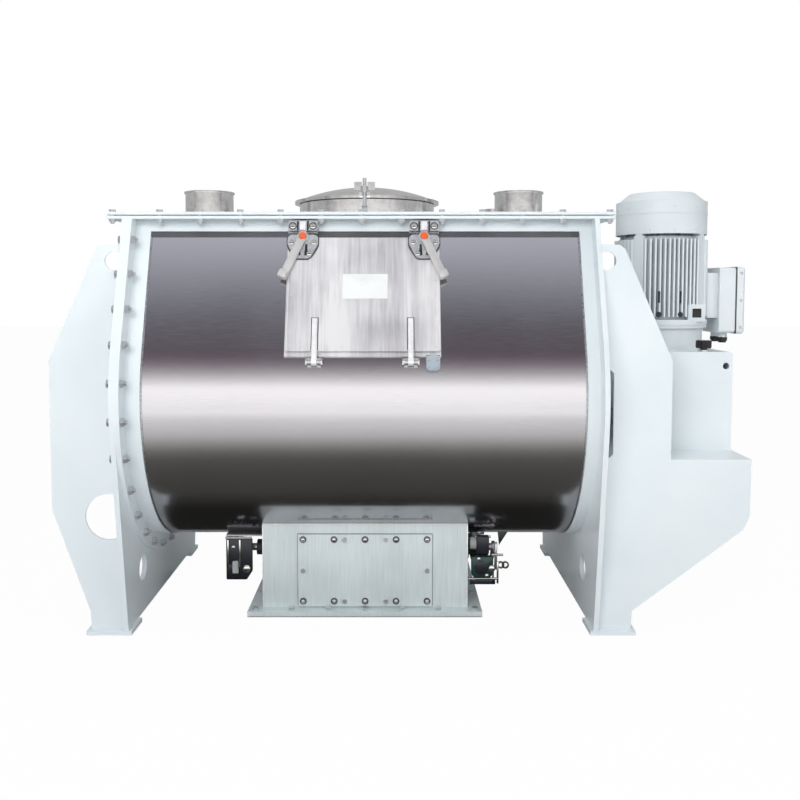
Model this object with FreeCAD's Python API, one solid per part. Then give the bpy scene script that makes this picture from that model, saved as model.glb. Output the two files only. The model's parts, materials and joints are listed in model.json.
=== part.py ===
"""Ribbon blender: horizontal trough mixer with a double helical agitator.

Millimetres, +X along the agitator shaft towards the drive, -Y is the operator's side, +Z up.
The origin lies on the floor, under the middle of the whole machine.
"""
import FreeCAD, Part
import math
import os

os.makedirs("parts", exist_ok=True)
V = FreeCAD.Vector
AXIS_X, AXIS_Y, AXIS_Z = V(1, 0, 0), V(0, 1, 0), V(0, 0, 1)
ORIGIN = V(0, 0, 0)

# ---------------------------------------------------------------- driving dimensions
# trough
drum_radius = 668.0          # outside of the round bottom
shell_wall = 5.0
drum_height = 951.0          # shaft centre above the floor
lean = 19.5                  # the side walls lean inwards by this many degrees
trough_length = 1896.0       # between the inner faces of the two end plates
trough_middle = -237.0       # middle of the trough along X
left_band_width = 82.0       # painted band beside the bolted flange
right_band_width = 50.0      # painted band beside the welded end plate
band_wall = 8.0
shell_rise = 695.0           # top edge of the shell above the shaft
end_plate = 20.0
ring_width = 72.0            # the end plates stand this far out of the trough
ring_plate = 20.0            # bolted flange on the left band
flange_bolt_pitch = 148.0
flange_bolt_radius = 10.0
flange_bolt_inset = 26.0     # from the flange's edge to the bolts

# top frame and lid
frame_rise = 61.0            # top frame above the shell
frame_plate = 12.0
rim_half_depth = 505.0
rim_overhang = 70.0          # beyond the outer faces of the end plates
gasket_thickness = 4.0
lid_plate = 12.0
lid_bolt_pitch = 165.0
lid_bolts_per_side = 11
lid_bolts_per_end = 5
lid_bolt_radius = 8.0
lid_bolt_inset = 20.0

# legs and panels
foot_half_depth = 600.0      # front edge of an end plate at the floor
foot_plate = 18.0
foot_length = 185.0
foot_inset = 14.0            # the feet reach this far inside the end plates
foot_depth = 150.0
foot_lip = 6.0
panel_half_depth = 575.0     # outer faces of the front and rear panels
panel_plate = 8.0
panel_reach = 290.0          # how far a panel stands out beyond its end plate
panel_return = 50.0          # folded edge behind a panel
panel_lug_reach = 90.0
panel_drop = 59.0            # lug's top below the shell's
panel_shoulder = 1118.0
panel_knee = 511.0
panel_ankle = 91.0
panel_foot_reach = 138.0
panel_toe = 4.0              # slight flare above the foot
lug_hole_radius = 37.0
lug_hole_drop = 66.0         # hole centre below the lug's top
lug_hole_offset = 19.0       # hole centre beyond the end plate
hand_hole_radius = 94.0
hand_hole_height = 482.0
hand_hole_offset = 61.0
cable_hole_radius = 55.0     # in the foot of each end plate
cable_hole_height = 210.0
cable_hole_depth = 380.0
slot_rise = 7.0              # slot's lower end above the shelf
slot_length = 358.0
slot_width = 55.0
slot_chamfer = 14.0

# drive end
shelf_drop = 233.0           # top of the shelf that carries the drive, below the shaft
shelf_plate = 10.0
shelf_reach = 617.0          # beyond the right end plate
shelf_low = 487.0
shelf_corner = 60.0
stand_half_depth = 370.0
stand_plate = 10.0
stand_half_width = 204.0
stand_height = 423.0
stand_corner = 16.0
motor_offset = 408.0         # motor centre beyond the right end plate's outer face
gearbox_half_width = 122.0
gearbox_half_depth = 165.0
gearbox_foot = 20.0
gearbox_top_gap = 22.0       # between the gear case and the stand's top plate
adapter_radius = 190.0
adapter_height = 109.0
motor_flange_radius = 212.0
motor_flange = 22.0
motor_radius = 208.0
motor_core_radius = 164.0
motor_length = 375.0
fin_thickness = 7.0
fin_pitch = 19.6
fins_per_side = 13
fin_depth_gap = 9.0          # between motor body and cowl
cowl_radius = 203.0
cowl_height = 190.0
cowl_wall = 3.0
cowl_crown_radius = 146.0
rotor_shaft_radius = 21.0
rotor_core_radius = 92.0
rotor_gap = 1.5
fan_radius = 150.0
fan_blades = 7
terminal_width = 298.0       # along Z
terminal_base = 32.0
terminal_body = 79.0
terminal_cover = 37.0
terminal_half_depth = 105.0
terminal_drop = 63.0         # the box hangs this far below the motor's underside
terminal_flange_gap = 6.0    # its base stays clear of the motor's flange
gland_length = 26.0

# agitator
shaft_radius = 45.0
ribbon_clearance = 8.0       # outer ribbon to trough
end_clearance = 26.0         # ribbons to end plates
outer_ribbon_width = 60.0
inner_ribbon_radius = 390.0
inner_ribbon_width = 70.0
ribbon_thickness = 10.0
arm_width = 38.0             # flat arms, square to the shaft
arm_plate = 14.0
seal_radius = 85.0
seal_length = 60.0
bearing_radius = 105.0
bearing_width = 70.0
bearing_standoff = 150.0
bearing_rib = 11.0           # radius of the four ribs that carry it
bearing_rib_inset = 3.0
bearing_cover = 12.0         # closed end of the left bearing
running_fit = 0.05           # radial clearance of a shaft in its bearing
soft_gap = 0.3               # clearance between seated pieces

# lid fittings
hatch_middle = -227.0        # manhole, door and discharge centre along X
nozzle_radius = 109.5        # DN200 pipe
nozzle_wall = 4.0
nozzle_height = 132.0
nozzle_rim = 5.5
nozzle_rim_height = 7.0
nozzle_left = -957.0
nozzle_right = 475.0
vent_radius = 44.5
vent_height = 78.0
vent_x, vent_y = 392.0, 250.0
manhole_radius = 310.0
manhole_wall = 6.0
manhole_height = 72.0
manhole_rim_radius = 332.0
manhole_rim_height = 12.0
manhole_dome = 64.0
manhole_lid_wall = 4.0
manhole_seal = 3.0
hinge_pin_radius = 8.0
manhole_hinge_reach = 38.0   # hinge axis beyond the rim
swing_bolt_radius = 8.0
swing_bolt_length = 130.0
wing_nut_gap = 3.0           # the nut stands slackened, so that the bolt can swing
swing_reach = 24.0           # swing bolt axis beyond the rim

# door
door_width = 618.0
door_height = 483.0
door_low = -19.0             # lower edge, measured along the wall from its tangent line
door_plate = 8.0
door_frame_plate = 12.0
door_frame_margin = 1.0
door_frame_sill = 18.0       # the frame stands this far below the door
door_opening_width = 520.0
door_opening_height = 390.0
door_seal = 4.0
door_seal_width = 14.0
hinge_drop = 42.0            # hinge axis below the door's lower edge
hinge_stand = 24.0           # hinge axis out of the wall
hinge_spacing = 380.0
strap_width = 22.0
strap_length = 176.0
strap_plate = 8.0
latch_spacing = 494.0
latch_arm_length = 189.0
latch_splay = 24.0           # degrees
latch_arm_width = 34.0
latch_plate = 8.0
latch_pin_radius = 9.0
latch_cap_radius = 15.0
keeper_width = 120.0
keeper_height = 50.0
keeper_lobe = 8.0

# discharge
chute_width = 886.0
chute_half_depth = 380.0
chute_wall = 6.0
chute_low = 12.0
chute_flange = 24.0
chute_flange_lip = 58.0
gate_width = 800.0
gate_half_depth = 190.0
gate_gap = 1.5
gate_shaft_depth = 250.0
gate_shaft_gap = 21.0        # gate shafts' centres below the drum
gate_shaft_radius = 16.0
gate_shaft_end = 64.0        # rear shaft's end beyond the housing
gate_switch_end = 170.0      # front shaft's end in the position switch
gate_hub_radius = 28.0
gate_hub_length = 40.0
gate_arm_plate = 12.0
gate_arm_tip = 50.0          # the arms end this far from the middle
gate_lever = 90.0
gate_lever_angle = 40.0
gate_lever_plate = 12.0
gate_bearing_length = 40.0
gate_lever_offset = 118.0    # lever beyond the chute's right wall
cylinder_offset = 46.0       # cylinder axis inside the levers
cylinder_radius = 42.0
cylinder_length = 250.0
cylinder_rod_radius = 11.0
access_width = 578.0
access_height = 314.0
access_plate = 8.0
access_margin = 22.0

# ---------------------------------------------------------------- derived positions
lean_rad = math.radians(lean)
shell_top = drum_height + shell_rise
frame_top = shell_top + frame_rise
panel_top = shell_top - panel_drop
lug_hole_height = panel_top - lug_hole_drop
shelf_height = drum_height - shelf_drop
slot_low = shelf_height + slot_rise
slot_high = slot_low + slot_length
gate_shaft_height = drum_height - drum_radius - gate_shaft_gap
left_face = trough_middle - trough_length / 2      # inner face of the left end plate
right_face = trough_middle + trough_length / 2
left_out = left_face - end_plate
right_out = right_face + end_plate
tangent_height = drum_height + drum_radius * math.sin(lean_rad)
tangent_depth = drum_radius * math.cos(lean_rad)
flange_low = frame_top - frame_plate               # underside of the top frame's flange
lid_low = frame_top + gasket_thickness
lid_top = lid_low + lid_plate
rim_left = left_out - rim_overhang
rim_right = right_out + rim_overhang
motor_x = right_out + motor_offset
stand_low = shelf_height
stand_top = stand_low + stand_height
gearbox_top = stand_top - stand_plate - gearbox_top_gap
adapter_top = stand_top + adapter_height
motor_low = adapter_top + motor_flange
motor_high = motor_low + motor_length
cowl_low = motor_high + fin_depth_gap
cowl_top = cowl_low + cowl_height
collar_top = lid_top + manhole_height
manhole_lid_low = collar_top + manhole_seal
manhole_lid_top = manhole_lid_low + manhole_rim_height
terminal_low = motor_low - terminal_drop
terminal_high = terminal_low + terminal_width


# ---------------------------------------------------------------- helpers
def box(x0, x1, y0, y1, z0, z1):
    """Box between two corners."""
    return Part.makeBox(x1 - x0, y1 - y0, z1 - z0, V(x0, y0, z0))


def bar(x, y, z, direction, radius, length):
    """Round bar from a point along a direction."""
    return Part.makeCylinder(radius, length, V(x, y, z), direction)


def tube(x, y, z, direction, radius, bore, length):
    """Round bar with a bore right through."""
    return bar(x, y, z, direction, radius, length).cut(bar(x, y, z, direction, bore, length))


def slab(points, x0, thickness):
    """Flat plate square to X from an outline of (y, z) points."""
    corners = [V(x0, y, z) for y, z in points]
    return Part.Face(Part.makePolygon(corners + corners[:1])).extrude(V(thickness, 0, 0))


def panel(points, y0, thickness):
    """Flat plate square to Y from an outline of (x, z) points."""
    corners = [V(x, y0, z) for x, z in points]
    return Part.Face(Part.makePolygon(corners + corners[:1])).extrude(V(0, thickness, 0))


def join(first, *others):
    """One solid from touching shapes."""
    return first.fuse(list(others)).removeSplitter()


def mirrored(shape, normal=AXIS_Y, base=ORIGIN):
    """Copy of a shape on the other side of a plane."""
    return shape.mirror(base, normal)


def bolt(x, y, z, direction, radius, grip, nut=True):
    """Hexagon bolt: head at the point, shank along the direction, nut beyond the grip."""
    across = 1.75 * radius
    head = hexagon(across, 1.3 * radius)
    head.translate(V(0, 0, -1.3 * radius))
    parts = [head, hexagon(radius, grip + (2.4 * radius if nut else 0))]
    if nut:
        nut_body = hexagon(across, 1.5 * radius)
        nut_body.translate(V(0, 0, grip))
        parts.append(nut_body)
    shape = join(*parts)
    shape.Placement = FreeCAD.Placement(V(x, y, z), FreeCAD.Rotation(AXIS_Z, direction))
    return shape


def hexagon(radius, height):
    """Six-sided prism on the XY plane."""
    corners = [V(radius * math.cos(math.radians(a)), radius * math.sin(math.radians(a)), 0)
               for a in range(30, 390, 60)]
    return Part.Face(Part.makePolygon(corners + corners[:1])).extrude(V(0, 0, height))


def save(name, *shapes):
    """Write the solids of one sub-part to its STEP file."""
    solids = [solid for shape in shapes for solid in shape.Solids]
    Part.makeCompound(solids).exportStep(f"parts/{name}.step")


# ---------------------------------------------------------------- trough outline
def wall_depth(height, offset=0.0):
    """Distance of the trough's side wall from the middle, offset outwards."""
    radius = drum_radius + offset
    tangent = drum_height + radius * math.sin(lean_rad)
    if height >= tangent:
        return radius * math.cos(lean_rad) - (height - tangent) * math.tan(lean_rad)
    return math.sqrt(radius ** 2 - (height - drum_height) ** 2)


def trough_block(x0, x1, top, offset=0.0):
    """Solid of the trough's section: round bottom, leaning straight walls."""
    radius = drum_radius + offset
    side = radius * math.cos(lean_rad)
    tangent = drum_height + radius * math.sin(lean_rad)
    high = wall_depth(top, offset)
    right_top, right_low = V(x0, high, top), V(x0, side, tangent)
    left_top, left_low = V(x0, -high, top), V(x0, -side, tangent)
    bottom = V(x0, 0, drum_height - radius)
    wire = Part.Wire([
        Part.LineSegment(left_top, left_low).toShape(),
        Part.Arc(left_low, bottom, right_low).toShape(),
        Part.LineSegment(right_low, right_top).toShape(),
        Part.LineSegment(right_top, left_top).toShape(),
    ])
    return Part.Face(wire).extrude(V(x1 - x0, 0, 0))


def drum_underside(depth):
    """Height of the drum's outside at a distance in front of its middle."""
    return drum_height - math.sqrt(drum_radius ** 2 - depth ** 2)


def trough_wall(x0, x1, top, outside, inside):
    """Open trough between two offsets of the section."""
    return trough_block(x0, x1, top, outside).cut(trough_block(x0, x1, top + 50, inside))


def on_front_wall(shape, along=0.0):
    """Carry a shape drawn on the plane Y = 0 (Z up the wall, -Y outwards) to the front wall."""
    shape = shape.copy()
    shape.rotate(ORIGIN, AXIS_X, -lean)
    shape.translate(V(along, -tangent_depth, tangent_height))
    return shape


def end_plate_outline():
    """Outline of an end plate: the trough's ring carried down to two legs."""
    radius = drum_radius + ring_width
    side = radius * math.cos(lean_rad)
    tangent = drum_height + radius * math.sin(lean_rad)
    top = wall_depth(flange_low, ring_width)
    drop = foot_plate - drum_height
    reach = math.hypot(foot_half_depth, drop)
    angle = math.atan2(drop, foot_half_depth) + math.acos(radius / reach)
    leg_y, leg_z = radius * math.cos(angle), drum_height + radius * math.sin(angle)
    middle = (angle + lean_rad) / 2
    mid_y, mid_z = radius * math.cos(middle), drum_height + radius * math.sin(middle)
    right = [
        Part.LineSegment(V(0, foot_half_depth, foot_plate), V(0, leg_y, leg_z)).toShape(),
        Part.Arc(V(0, leg_y, leg_z), V(0, mid_y, mid_z), V(0, side, tangent)).toShape(),
        Part.LineSegment(V(0, side, tangent), V(0, top, flange_low)).toShape(),
    ]
    left = [
        Part.LineSegment(V(0, -top, flange_low), V(0, -side, tangent)).toShape(),
        Part.Arc(V(0, -side, tangent), V(0, -mid_y, mid_z), V(0, -leg_y, leg_z)).toShape(),
        Part.LineSegment(V(0, -leg_y, leg_z), V(0, -foot_half_depth, foot_plate)).toShape(),
    ]
    top_edge = Part.LineSegment(V(0, top, flange_low), V(0, -top, flange_low)).toShape()
    low_edge = Part.LineSegment(V(0, -foot_half_depth, foot_plate), V(0, foot_half_depth, foot_plate)).toShape()
    return Part.Face(Part.Wire(right + [top_edge] + left + [low_edge]))


# ---------------------------------------------------------------- trough and frame
def flange_bolt_places():
    """Points (y, z) of the bolts round the left flange, at an even pitch."""
    offset = ring_width - flange_bolt_inset
    radius = drum_radius + offset
    tangent = drum_height + radius * math.sin(lean_rad)
    straight = (flange_low - 60 - tangent) / math.cos(lean_rad)
    places = []
    for index in range(int(straight // flange_bolt_pitch) + 1):
        height = tangent + index * flange_bolt_pitch * math.cos(lean_rad)
        depth = wall_depth(height, offset)
        places += [(depth, height), (-depth, height)]
    sweep = math.pi + 2 * lean_rad
    gaps = round(sweep * radius / flange_bolt_pitch)
    for index in range(1, gaps):
        angle = lean_rad - index * sweep / gaps
        places.append((radius * math.cos(angle), drum_height + radius * math.sin(angle)))
    return places


def gate_opening(margin=0.0):
    """Block that cuts the discharge opening through the trough's bottom."""
    half = gate_width / 2 - margin
    depth = gate_half_depth - margin
    return box(hatch_middle - half, hatch_middle + half, -depth, depth,
               drum_height - drum_radius - shell_wall, drum_height - drum_radius / 2)


def door_opening():
    """Block that cuts the door's opening through the front wall."""
    low = door_low + (door_height - door_opening_height) / 2
    half = door_opening_width / 2
    block = box(-half, half, -60, 60, low, low + door_opening_height)
    return on_front_wall(block, hatch_middle)


def trough_shell():
    """Stainless shell with the door and discharge openings."""
    shell = trough_wall(left_face + left_band_width, right_face - right_band_width,
                        shell_top, 0.0, -shell_wall)
    return shell.cut(gate_opening()).cut(door_opening())


def left_band():
    """Painted band with the flange that the left end plate bolts to."""
    band = trough_wall(left_face + ring_plate, left_face + left_band_width, shell_top,
                       band_wall - shell_wall, -shell_wall)
    ring = trough_wall(left_face, left_face + ring_plate, flange_low, ring_width, -shell_wall)
    for y, z in flange_bolt_places():
        ring = ring.cut(bar(left_face, y, z, AXIS_X, flange_bolt_radius, ring_plate))
    return join(band, ring)


def right_band():
    """Painted band welded to the right end plate."""
    return trough_wall(right_face - right_band_width, right_face, shell_top,
                       band_wall - shell_wall, -shell_wall)


def lid_bolt_places():
    """Points (x, y) of the bolts round the lid."""
    depth = rim_half_depth - lid_bolt_inset
    first = trough_middle - (lid_bolts_per_side - 1) / 2 * lid_bolt_pitch
    places = []
    for index in range(lid_bolts_per_side):
        places += [(first + index * lid_bolt_pitch, depth), (first + index * lid_bolt_pitch, -depth)]
    pitch = 2 * depth / (lid_bolts_per_end - 1)
    for index in range(lid_bolts_per_end):
        places.append((rim_left + lid_bolt_inset, -depth + index * pitch))
        places.append((rim_right - lid_bolt_inset, -depth + index * pitch))
    return places


def rim_plate(low, thickness):
    """Rectangle the size of the rim with the lid bolts' holes."""
    plate = box(rim_left, rim_right, -rim_half_depth, rim_half_depth, low, low + thickness)
    for x, y in lid_bolt_places():
        plate = plate.cut(bar(x, y, low, AXIS_Z, lid_bolt_radius, thickness))
    return plate


def top_frame():
    """Frame round the trough's mouth: leaning web and flat flange."""
    webs = trough_wall(left_face + ring_plate, right_face, flange_low, band_wall - shell_wall,
                       -shell_wall)
    webs = webs.cut(box(left_face, right_face, -drum_radius - 50, drum_radius + 50, 0, shell_top))
    flange = rim_plate(flange_low, frame_plate)
    mouth = wall_depth(flange_low, -shell_wall)
    flange = flange.cut(box(left_face, right_face, -mouth, mouth, flange_low, frame_top))
    return join(flange, webs)


def lid_gasket():
    """Flat rubber gasket under the lid, inside the bolts."""
    mouth = wall_depth(flange_low, -shell_wall)
    inset = 2 * lid_bolt_inset
    outer = box(rim_left + inset, rim_right - inset, -rim_half_depth + inset, rim_half_depth - inset,
                frame_top, lid_low)
    return outer.cut(box(left_face, right_face, -mouth, mouth, frame_top, lid_low))


def lid():
    """Flat lid with the holes of its nozzles and manhole."""
    plate = rim_plate(lid_low, lid_plate)
    for x, y, radius in ((nozzle_left, 0, nozzle_radius - nozzle_wall),
                         (nozzle_right, 0, nozzle_radius - nozzle_wall),
                         (vent_x, vent_y, vent_radius - nozzle_wall),
                         (hatch_middle, 0, manhole_radius - manhole_wall)):
        plate = plate.cut(bar(x, y, lid_low, AXIS_Z, radius, lid_plate))
    return plate


def lid_bolts():
    """Bolts round the rim, heads above the lid."""
    grip = lid_top - flange_low
    return [bolt(x, y, lid_top, V(0, 0, -1), lid_bolt_radius, grip) for x, y in lid_bolt_places()]


def rough_end_plate(x):
    """End plate with the shaft's hole and the cable holes in its foot."""
    plate = end_plate_outline().extrude(V(end_plate, 0, 0))
    plate.translate(V(x, 0, 0))
    cuts = [bar(x, 0, drum_height, AXIS_X, shaft_radius + 6, end_plate)]
    for side in (-1, 1):
        cuts.append(bar(x, side * cable_hole_depth, cable_hole_height, AXIS_X, cable_hole_radius,
                        end_plate))
    return plate.cut(Part.makeCompound(cuts))


def left_end_plate():
    """Removable end plate with the flange bolts' holes."""
    plate = rough_end_plate(left_out)
    holes = [bar(left_out, y, z, AXIS_X, flange_bolt_radius, end_plate)
             for y, z in flange_bolt_places()]
    return plate.cut(Part.makeCompound(holes))


def left_flange_bolts():
    """Bolts through the left end plate and the band's flange."""
    return [bolt(left_out, y, z, AXIS_X, flange_bolt_radius, end_plate + ring_plate)
            for y, z in flange_bolt_places()]


# ---------------------------------------------------------------- legs and drive end
def side_panel(face, side):
    """Front panel of a leg, from an end plate's outer face, reaching out along side (-1 or 1)."""
    lug = panel_top - 14
    outline = [(0, foot_plate), (panel_foot_reach, foot_plate), (panel_foot_reach + panel_toe, panel_ankle),
               (panel_reach, panel_knee), (panel_reach, panel_shoulder), (panel_lug_reach, lug - 2),
               (panel_lug_reach - 22, panel_top - 2), (panel_lug_reach - 60, panel_top), (0, panel_top)]
    plate = panel([(face + side * x, z) for x, z in outline], -panel_half_depth, panel_plate)
    fold = box(min(face + side * panel_reach, face + side * (panel_reach - panel_plate)),
               max(face + side * panel_reach, face + side * (panel_reach - panel_plate)),
               -panel_half_depth, -panel_half_depth + panel_return, panel_knee, panel_shoulder)
    lug_hole = bar(face + side * lug_hole_offset, -panel_half_depth, lug_hole_height, AXIS_Y,
                   lug_hole_radius, panel_plate)
    return join(plate, fold).cut(lug_hole)


def left_panel():
    """Front panel of the left leg with its hand hole, notched round the flange bolts' heads."""
    cuts = [bar(left_out - hand_hole_offset, -panel_half_depth, hand_hole_height, AXIS_Y,
                hand_hole_radius, panel_plate)]
    notch = 2 * flange_bolt_radius
    for y, z in flange_bolt_places():
        cuts.append(bar(left_out - notch, y, z, AXIS_X, notch, notch))
    return side_panel(left_out, -1).cut(cuts)


def right_panel():
    """Front panel of the right leg: it widens into the skirt of the drive shelf."""
    face = right_out
    upper = side_panel(face, 1)
    upper = upper.cut(box(face + panel_foot_reach / 3, face + panel_reach + 1, -panel_half_depth,
                          -panel_half_depth + panel_return, 0, shelf_height))
    plate = panel(skirt_outline(), -panel_half_depth, panel_plate)
    low, high = slot_low, slot_high
    slot = panel([(face, low), (face + slot_width - slot_chamfer, low),
                  (face + slot_width, low + slot_chamfer), (face + slot_width, high - slot_chamfer),
                  (face + slot_width - slot_chamfer, high), (face, high)],
                 -panel_half_depth, panel_plate)
    return join(upper, plate).cut(slot)


def skirt_outline(inset=0.0):
    """Outline (x, z) of the drive shelf's skirt, drawn in from its free edges."""
    outer = right_out + shelf_reach - inset
    top = shelf_height - inset
    reach = right_out + panel_foot_reach - inset
    return [(right_out, foot_plate), (reach, foot_plate), (reach + panel_toe, panel_ankle),
            (outer - shelf_corner * 0.45, shelf_low - shelf_corner), (outer, shelf_low), (outer, top),
            (right_out, top)]


def drive_shelf():
    """Sheet folded round the skirt: shelf on top, outer wall and sloping underside."""
    depth = panel_half_depth - panel_plate
    outer = panel(skirt_outline(), -depth, 2 * depth)
    inner = panel(skirt_outline(shelf_plate), -panel_half_depth, 2 * panel_half_depth)
    keep = box(right_out, right_out + shelf_reach + 1, -depth, depth, panel_ankle, shelf_height + 1)
    return outer.cut(inner).common(keep)


def motor_stand():
    """Box over the gear case that carries the motor."""
    x0, x1 = motor_x - stand_half_width, motor_x + stand_half_width
    outer = box(x0, x1, -stand_half_depth, stand_half_depth, stand_low, stand_top)
    corner = [edge for edge in outer.Edges
              if edge.BoundBox.XMin > x1 - 1 and edge.BoundBox.ZMin > stand_top - 1]
    outer = outer.makeFillet(stand_corner, corner)
    inner = box(x0 - 1, x1 - stand_plate, -stand_half_depth + stand_plate,
                stand_half_depth - stand_plate, stand_low - 1, stand_top - stand_plate)
    stand = outer.cut(inner)
    mouth = bar(motor_x, 0, stand_top - stand_plate, AXIS_Z, adapter_radius - 60, stand_plate)
    peep = bar(x1 - 28, -stand_half_depth, stand_top - 60, AXIS_Y, 14, stand_plate)
    return stand.cut(mouth).cut(peep)


def foot(x0, side):
    """One foot plate under a leg's front corner, with an anchor hole."""
    x1 = x0 + side * foot_length
    low, high = min(x0, x1), max(x0, x1)
    front = -foot_half_depth - foot_lip
    plate = box(low, high, front, front + foot_depth, 0, foot_plate)
    return plate.cut(bar(x0 + side * foot_length * 0.6, front + foot_depth * 0.62, 0, AXIS_Z, 11,
                         foot_plate))


def foot_plates():
    """Four feet: one under each leg."""
    front = [foot(left_face + foot_inset, -1), foot(right_face - foot_inset, 1)]
    return front + [mirrored(plate) for plate in front]


# ---------------------------------------------------------------- bearings and agitator
def bearing_unit(face, side):
    """Bearing on four ribs out of an end plate, clear of the shaft seal."""
    far = face + side * (bearing_standoff + bearing_width)
    near = face + side * bearing_standoff
    start = min(near, far)
    rib_start = face if side > 0 else near - 1
    rib_reach = bearing_radius - bearing_rib - bearing_rib_inset
    unit = bar(start, 0, drum_height, AXIS_X, bearing_radius, bearing_width)
    for angle in range(45, 405, 90):
        y = math.cos(math.radians(angle)) * rib_reach
        z = math.sin(math.radians(angle)) * rib_reach
        unit = join(unit, bar(rib_start, y, drum_height + z, AXIS_X, bearing_rib, bearing_standoff + 1))
    bore_start = start - 1
    if side < 0:
        unit = join(unit, bar(far - 8, 0, drum_height, AXIS_X, bearing_radius - 30, 8))
        bore_start = start + bearing_cover
    return unit.cut(bar(bore_start, 0, drum_height, AXIS_X, shaft_radius + running_fit,
                        bearing_width + 2))


def shaft_seal(face, side):
    """Stuffing box on the outer face of an end plate."""
    start = face if side > 0 else face - seal_length
    flange = face if side > 0 else face - 12
    body = join(bar(start, 0, drum_height, AXIS_X, seal_radius - 22, seal_length),
                bar(flange, 0, drum_height, AXIS_X, seal_radius - 8, 12))
    return body.cut(bar(start, 0, drum_height, AXIS_X, shaft_radius + running_fit, seal_length))


def main_shaft():
    """Agitator shaft from the left bearing to the far side of the gear case."""
    start = left_out - bearing_standoff - bearing_width + bearing_cover + soft_gap
    end = motor_x + gearbox_half_width + 12
    return bar(start, 0, drum_height, AXIS_X, shaft_radius, end - start)


def on_shaft(shape):
    """Turn a shape drawn along Z to lie along the shaft, from its middle to the right."""
    shape.rotate(ORIGIN, AXIS_Y, 90)
    shape.translate(V(trough_middle, 0, drum_height))
    return shape


def helical_flight(outer, width, length, start, hand):
    """Flat flight of one turn wound on Z: two helicoid faces, two edges and two ends."""
    inner = outer - width
    half = ribbon_thickness / 2

    def rail(radius, height):
        helix = Part.makeHelix(length, length, radius, 0, hand < 0)
        helix.rotate(ORIGIN, AXIS_Z, start)
        helix.translate(V(0, 0, height))
        return helix.Edges[0]

    rails = [rail(inner, -half), rail(outer, -half), rail(outer, half), rail(inner, half)]
    faces = [Part.makeRuledSurface(rails[i], rails[(i + 1) % 4]) for i in range(4)]
    for end in (0.0, 1.0):
        corners = []
        for edge in rails:
            first, last = edge.ParameterRange
            corners.append(edge.valueAt(first + end * (last - first)))
        faces.append(Part.Face(Part.makePolygon(corners + corners[:1])))
    shell = Part.makeShell(faces)
    shell.sewShape()
    return Part.makeSolid(shell)


def ribbon_pair(outer, width, start, hand):
    """Two flights of each half of the agitator, half a turn apart, mirrored about the middle."""
    length = trough_length / 2 - end_clearance
    flights = []
    for turn in (0, 180):
        flight = helical_flight(outer, width, length, start + turn, hand)
        flight.translate(V(0, 0, ribbon_thickness))
        flight = on_shaft(flight)
        flights += [flight, mirrored(flight, AXIS_X, V(trough_middle, 0, 0))]
    return flights


def outer_ribbons():
    """Outer flights: they sweep the trough's wall."""
    return ribbon_pair(outer_ribbon_radius(), outer_ribbon_width, 0.0, 1)


def inner_ribbons():
    """Inner flights of the opposite hand."""
    return ribbon_pair(inner_ribbon_radius, inner_ribbon_width, 90.0, -1)


def outer_ribbon_radius():
    """Outside radius of the outer flights."""
    return drum_radius - shell_wall - ribbon_clearance


def radial_arm(x, angle, reach):
    """Flat arm from the shaft's surface out to a flight."""
    arm = box(0, reach, -arm_width / 2, arm_width / 2, -arm_plate / 2, arm_plate / 2)
    arm = arm.common(Part.makeCylinder(reach - soft_gap, 2 * arm_plate, V(0, 0, -arm_plate)))
    arm.rotate(ORIGIN, AXIS_Z, angle)
    arm.translate(V(0, 0, x + ribbon_thickness))
    arm = arm.cut(Part.makeCylinder(shaft_radius, 4 * arm_plate, V(0, 0, x - arm_plate)))
    return on_shaft(arm)


def ribbon_arms():
    """Arms of both ribbons: outer ones on the quarter turns, inner ones between them."""
    length = trough_length / 2 - end_clearance
    outer_reach = outer_ribbon_radius() - outer_ribbon_width
    inner_reach = inner_ribbon_radius - inner_ribbon_width
    arms = []
    stations = [(quarter / 4, outer_reach) for quarter in range(4)] + [(0.97, outer_reach)]
    stations += [(quarter / 4 + 0.125, inner_reach) for quarter in range(4)]
    for share, reach in stations:
        for turn in (0, 180):
            arm = radial_arm(share * length, 360 * share + turn, reach)
            arms.append(arm)
            if share > 0:
                arms.append(mirrored(arm, AXIS_X, V(trough_middle, 0, 0)))
    return arms


# ---------------------------------------------------------------- drive
def gearbox():
    """Right-angle gear case on the shelf, with a hollow output and an input bore on top."""
    x0, x1 = motor_x - gearbox_half_width, motor_x + gearbox_half_width
    case = box(x0, x1, -gearbox_half_depth, gearbox_half_depth, shelf_height + gearbox_foot,
               gearbox_top)
    edges = [edge for edge in case.Edges if abs(edge.BoundBox.XLength) < 1
             and abs(edge.BoundBox.YLength) < 1]
    case = case.makeFillet(30, edges)
    base = box(x0 - 20, x1 + 20, -gearbox_half_depth - 25, gearbox_half_depth + 25, shelf_height,
               shelf_height + gearbox_foot)
    hub = bar(x0 - 20, 0, drum_height, AXIS_X, 2 * shaft_radius, 2 * gearbox_half_width + 32)
    neck = bar(motor_x, 0, gearbox_top, AXIS_Z, adapter_radius - 62, gearbox_top_gap + stand_plate)
    case = join(case, base, hub, neck)
    bore = bar(x0 - 30, 0, drum_height, AXIS_X, shaft_radius + running_fit,
               2 * gearbox_half_width + 60)
    inlet = bar(motor_x, 0, rotor_low() - 2, AXIS_Z, rotor_shaft_radius + running_fit,
                stand_top - rotor_low() + 4)
    return case.cut(bore).cut(inlet)


def rotor_low():
    """Lower end of the rotor's shaft, in the gear case's input bore."""
    return gearbox_top - 40


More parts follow.
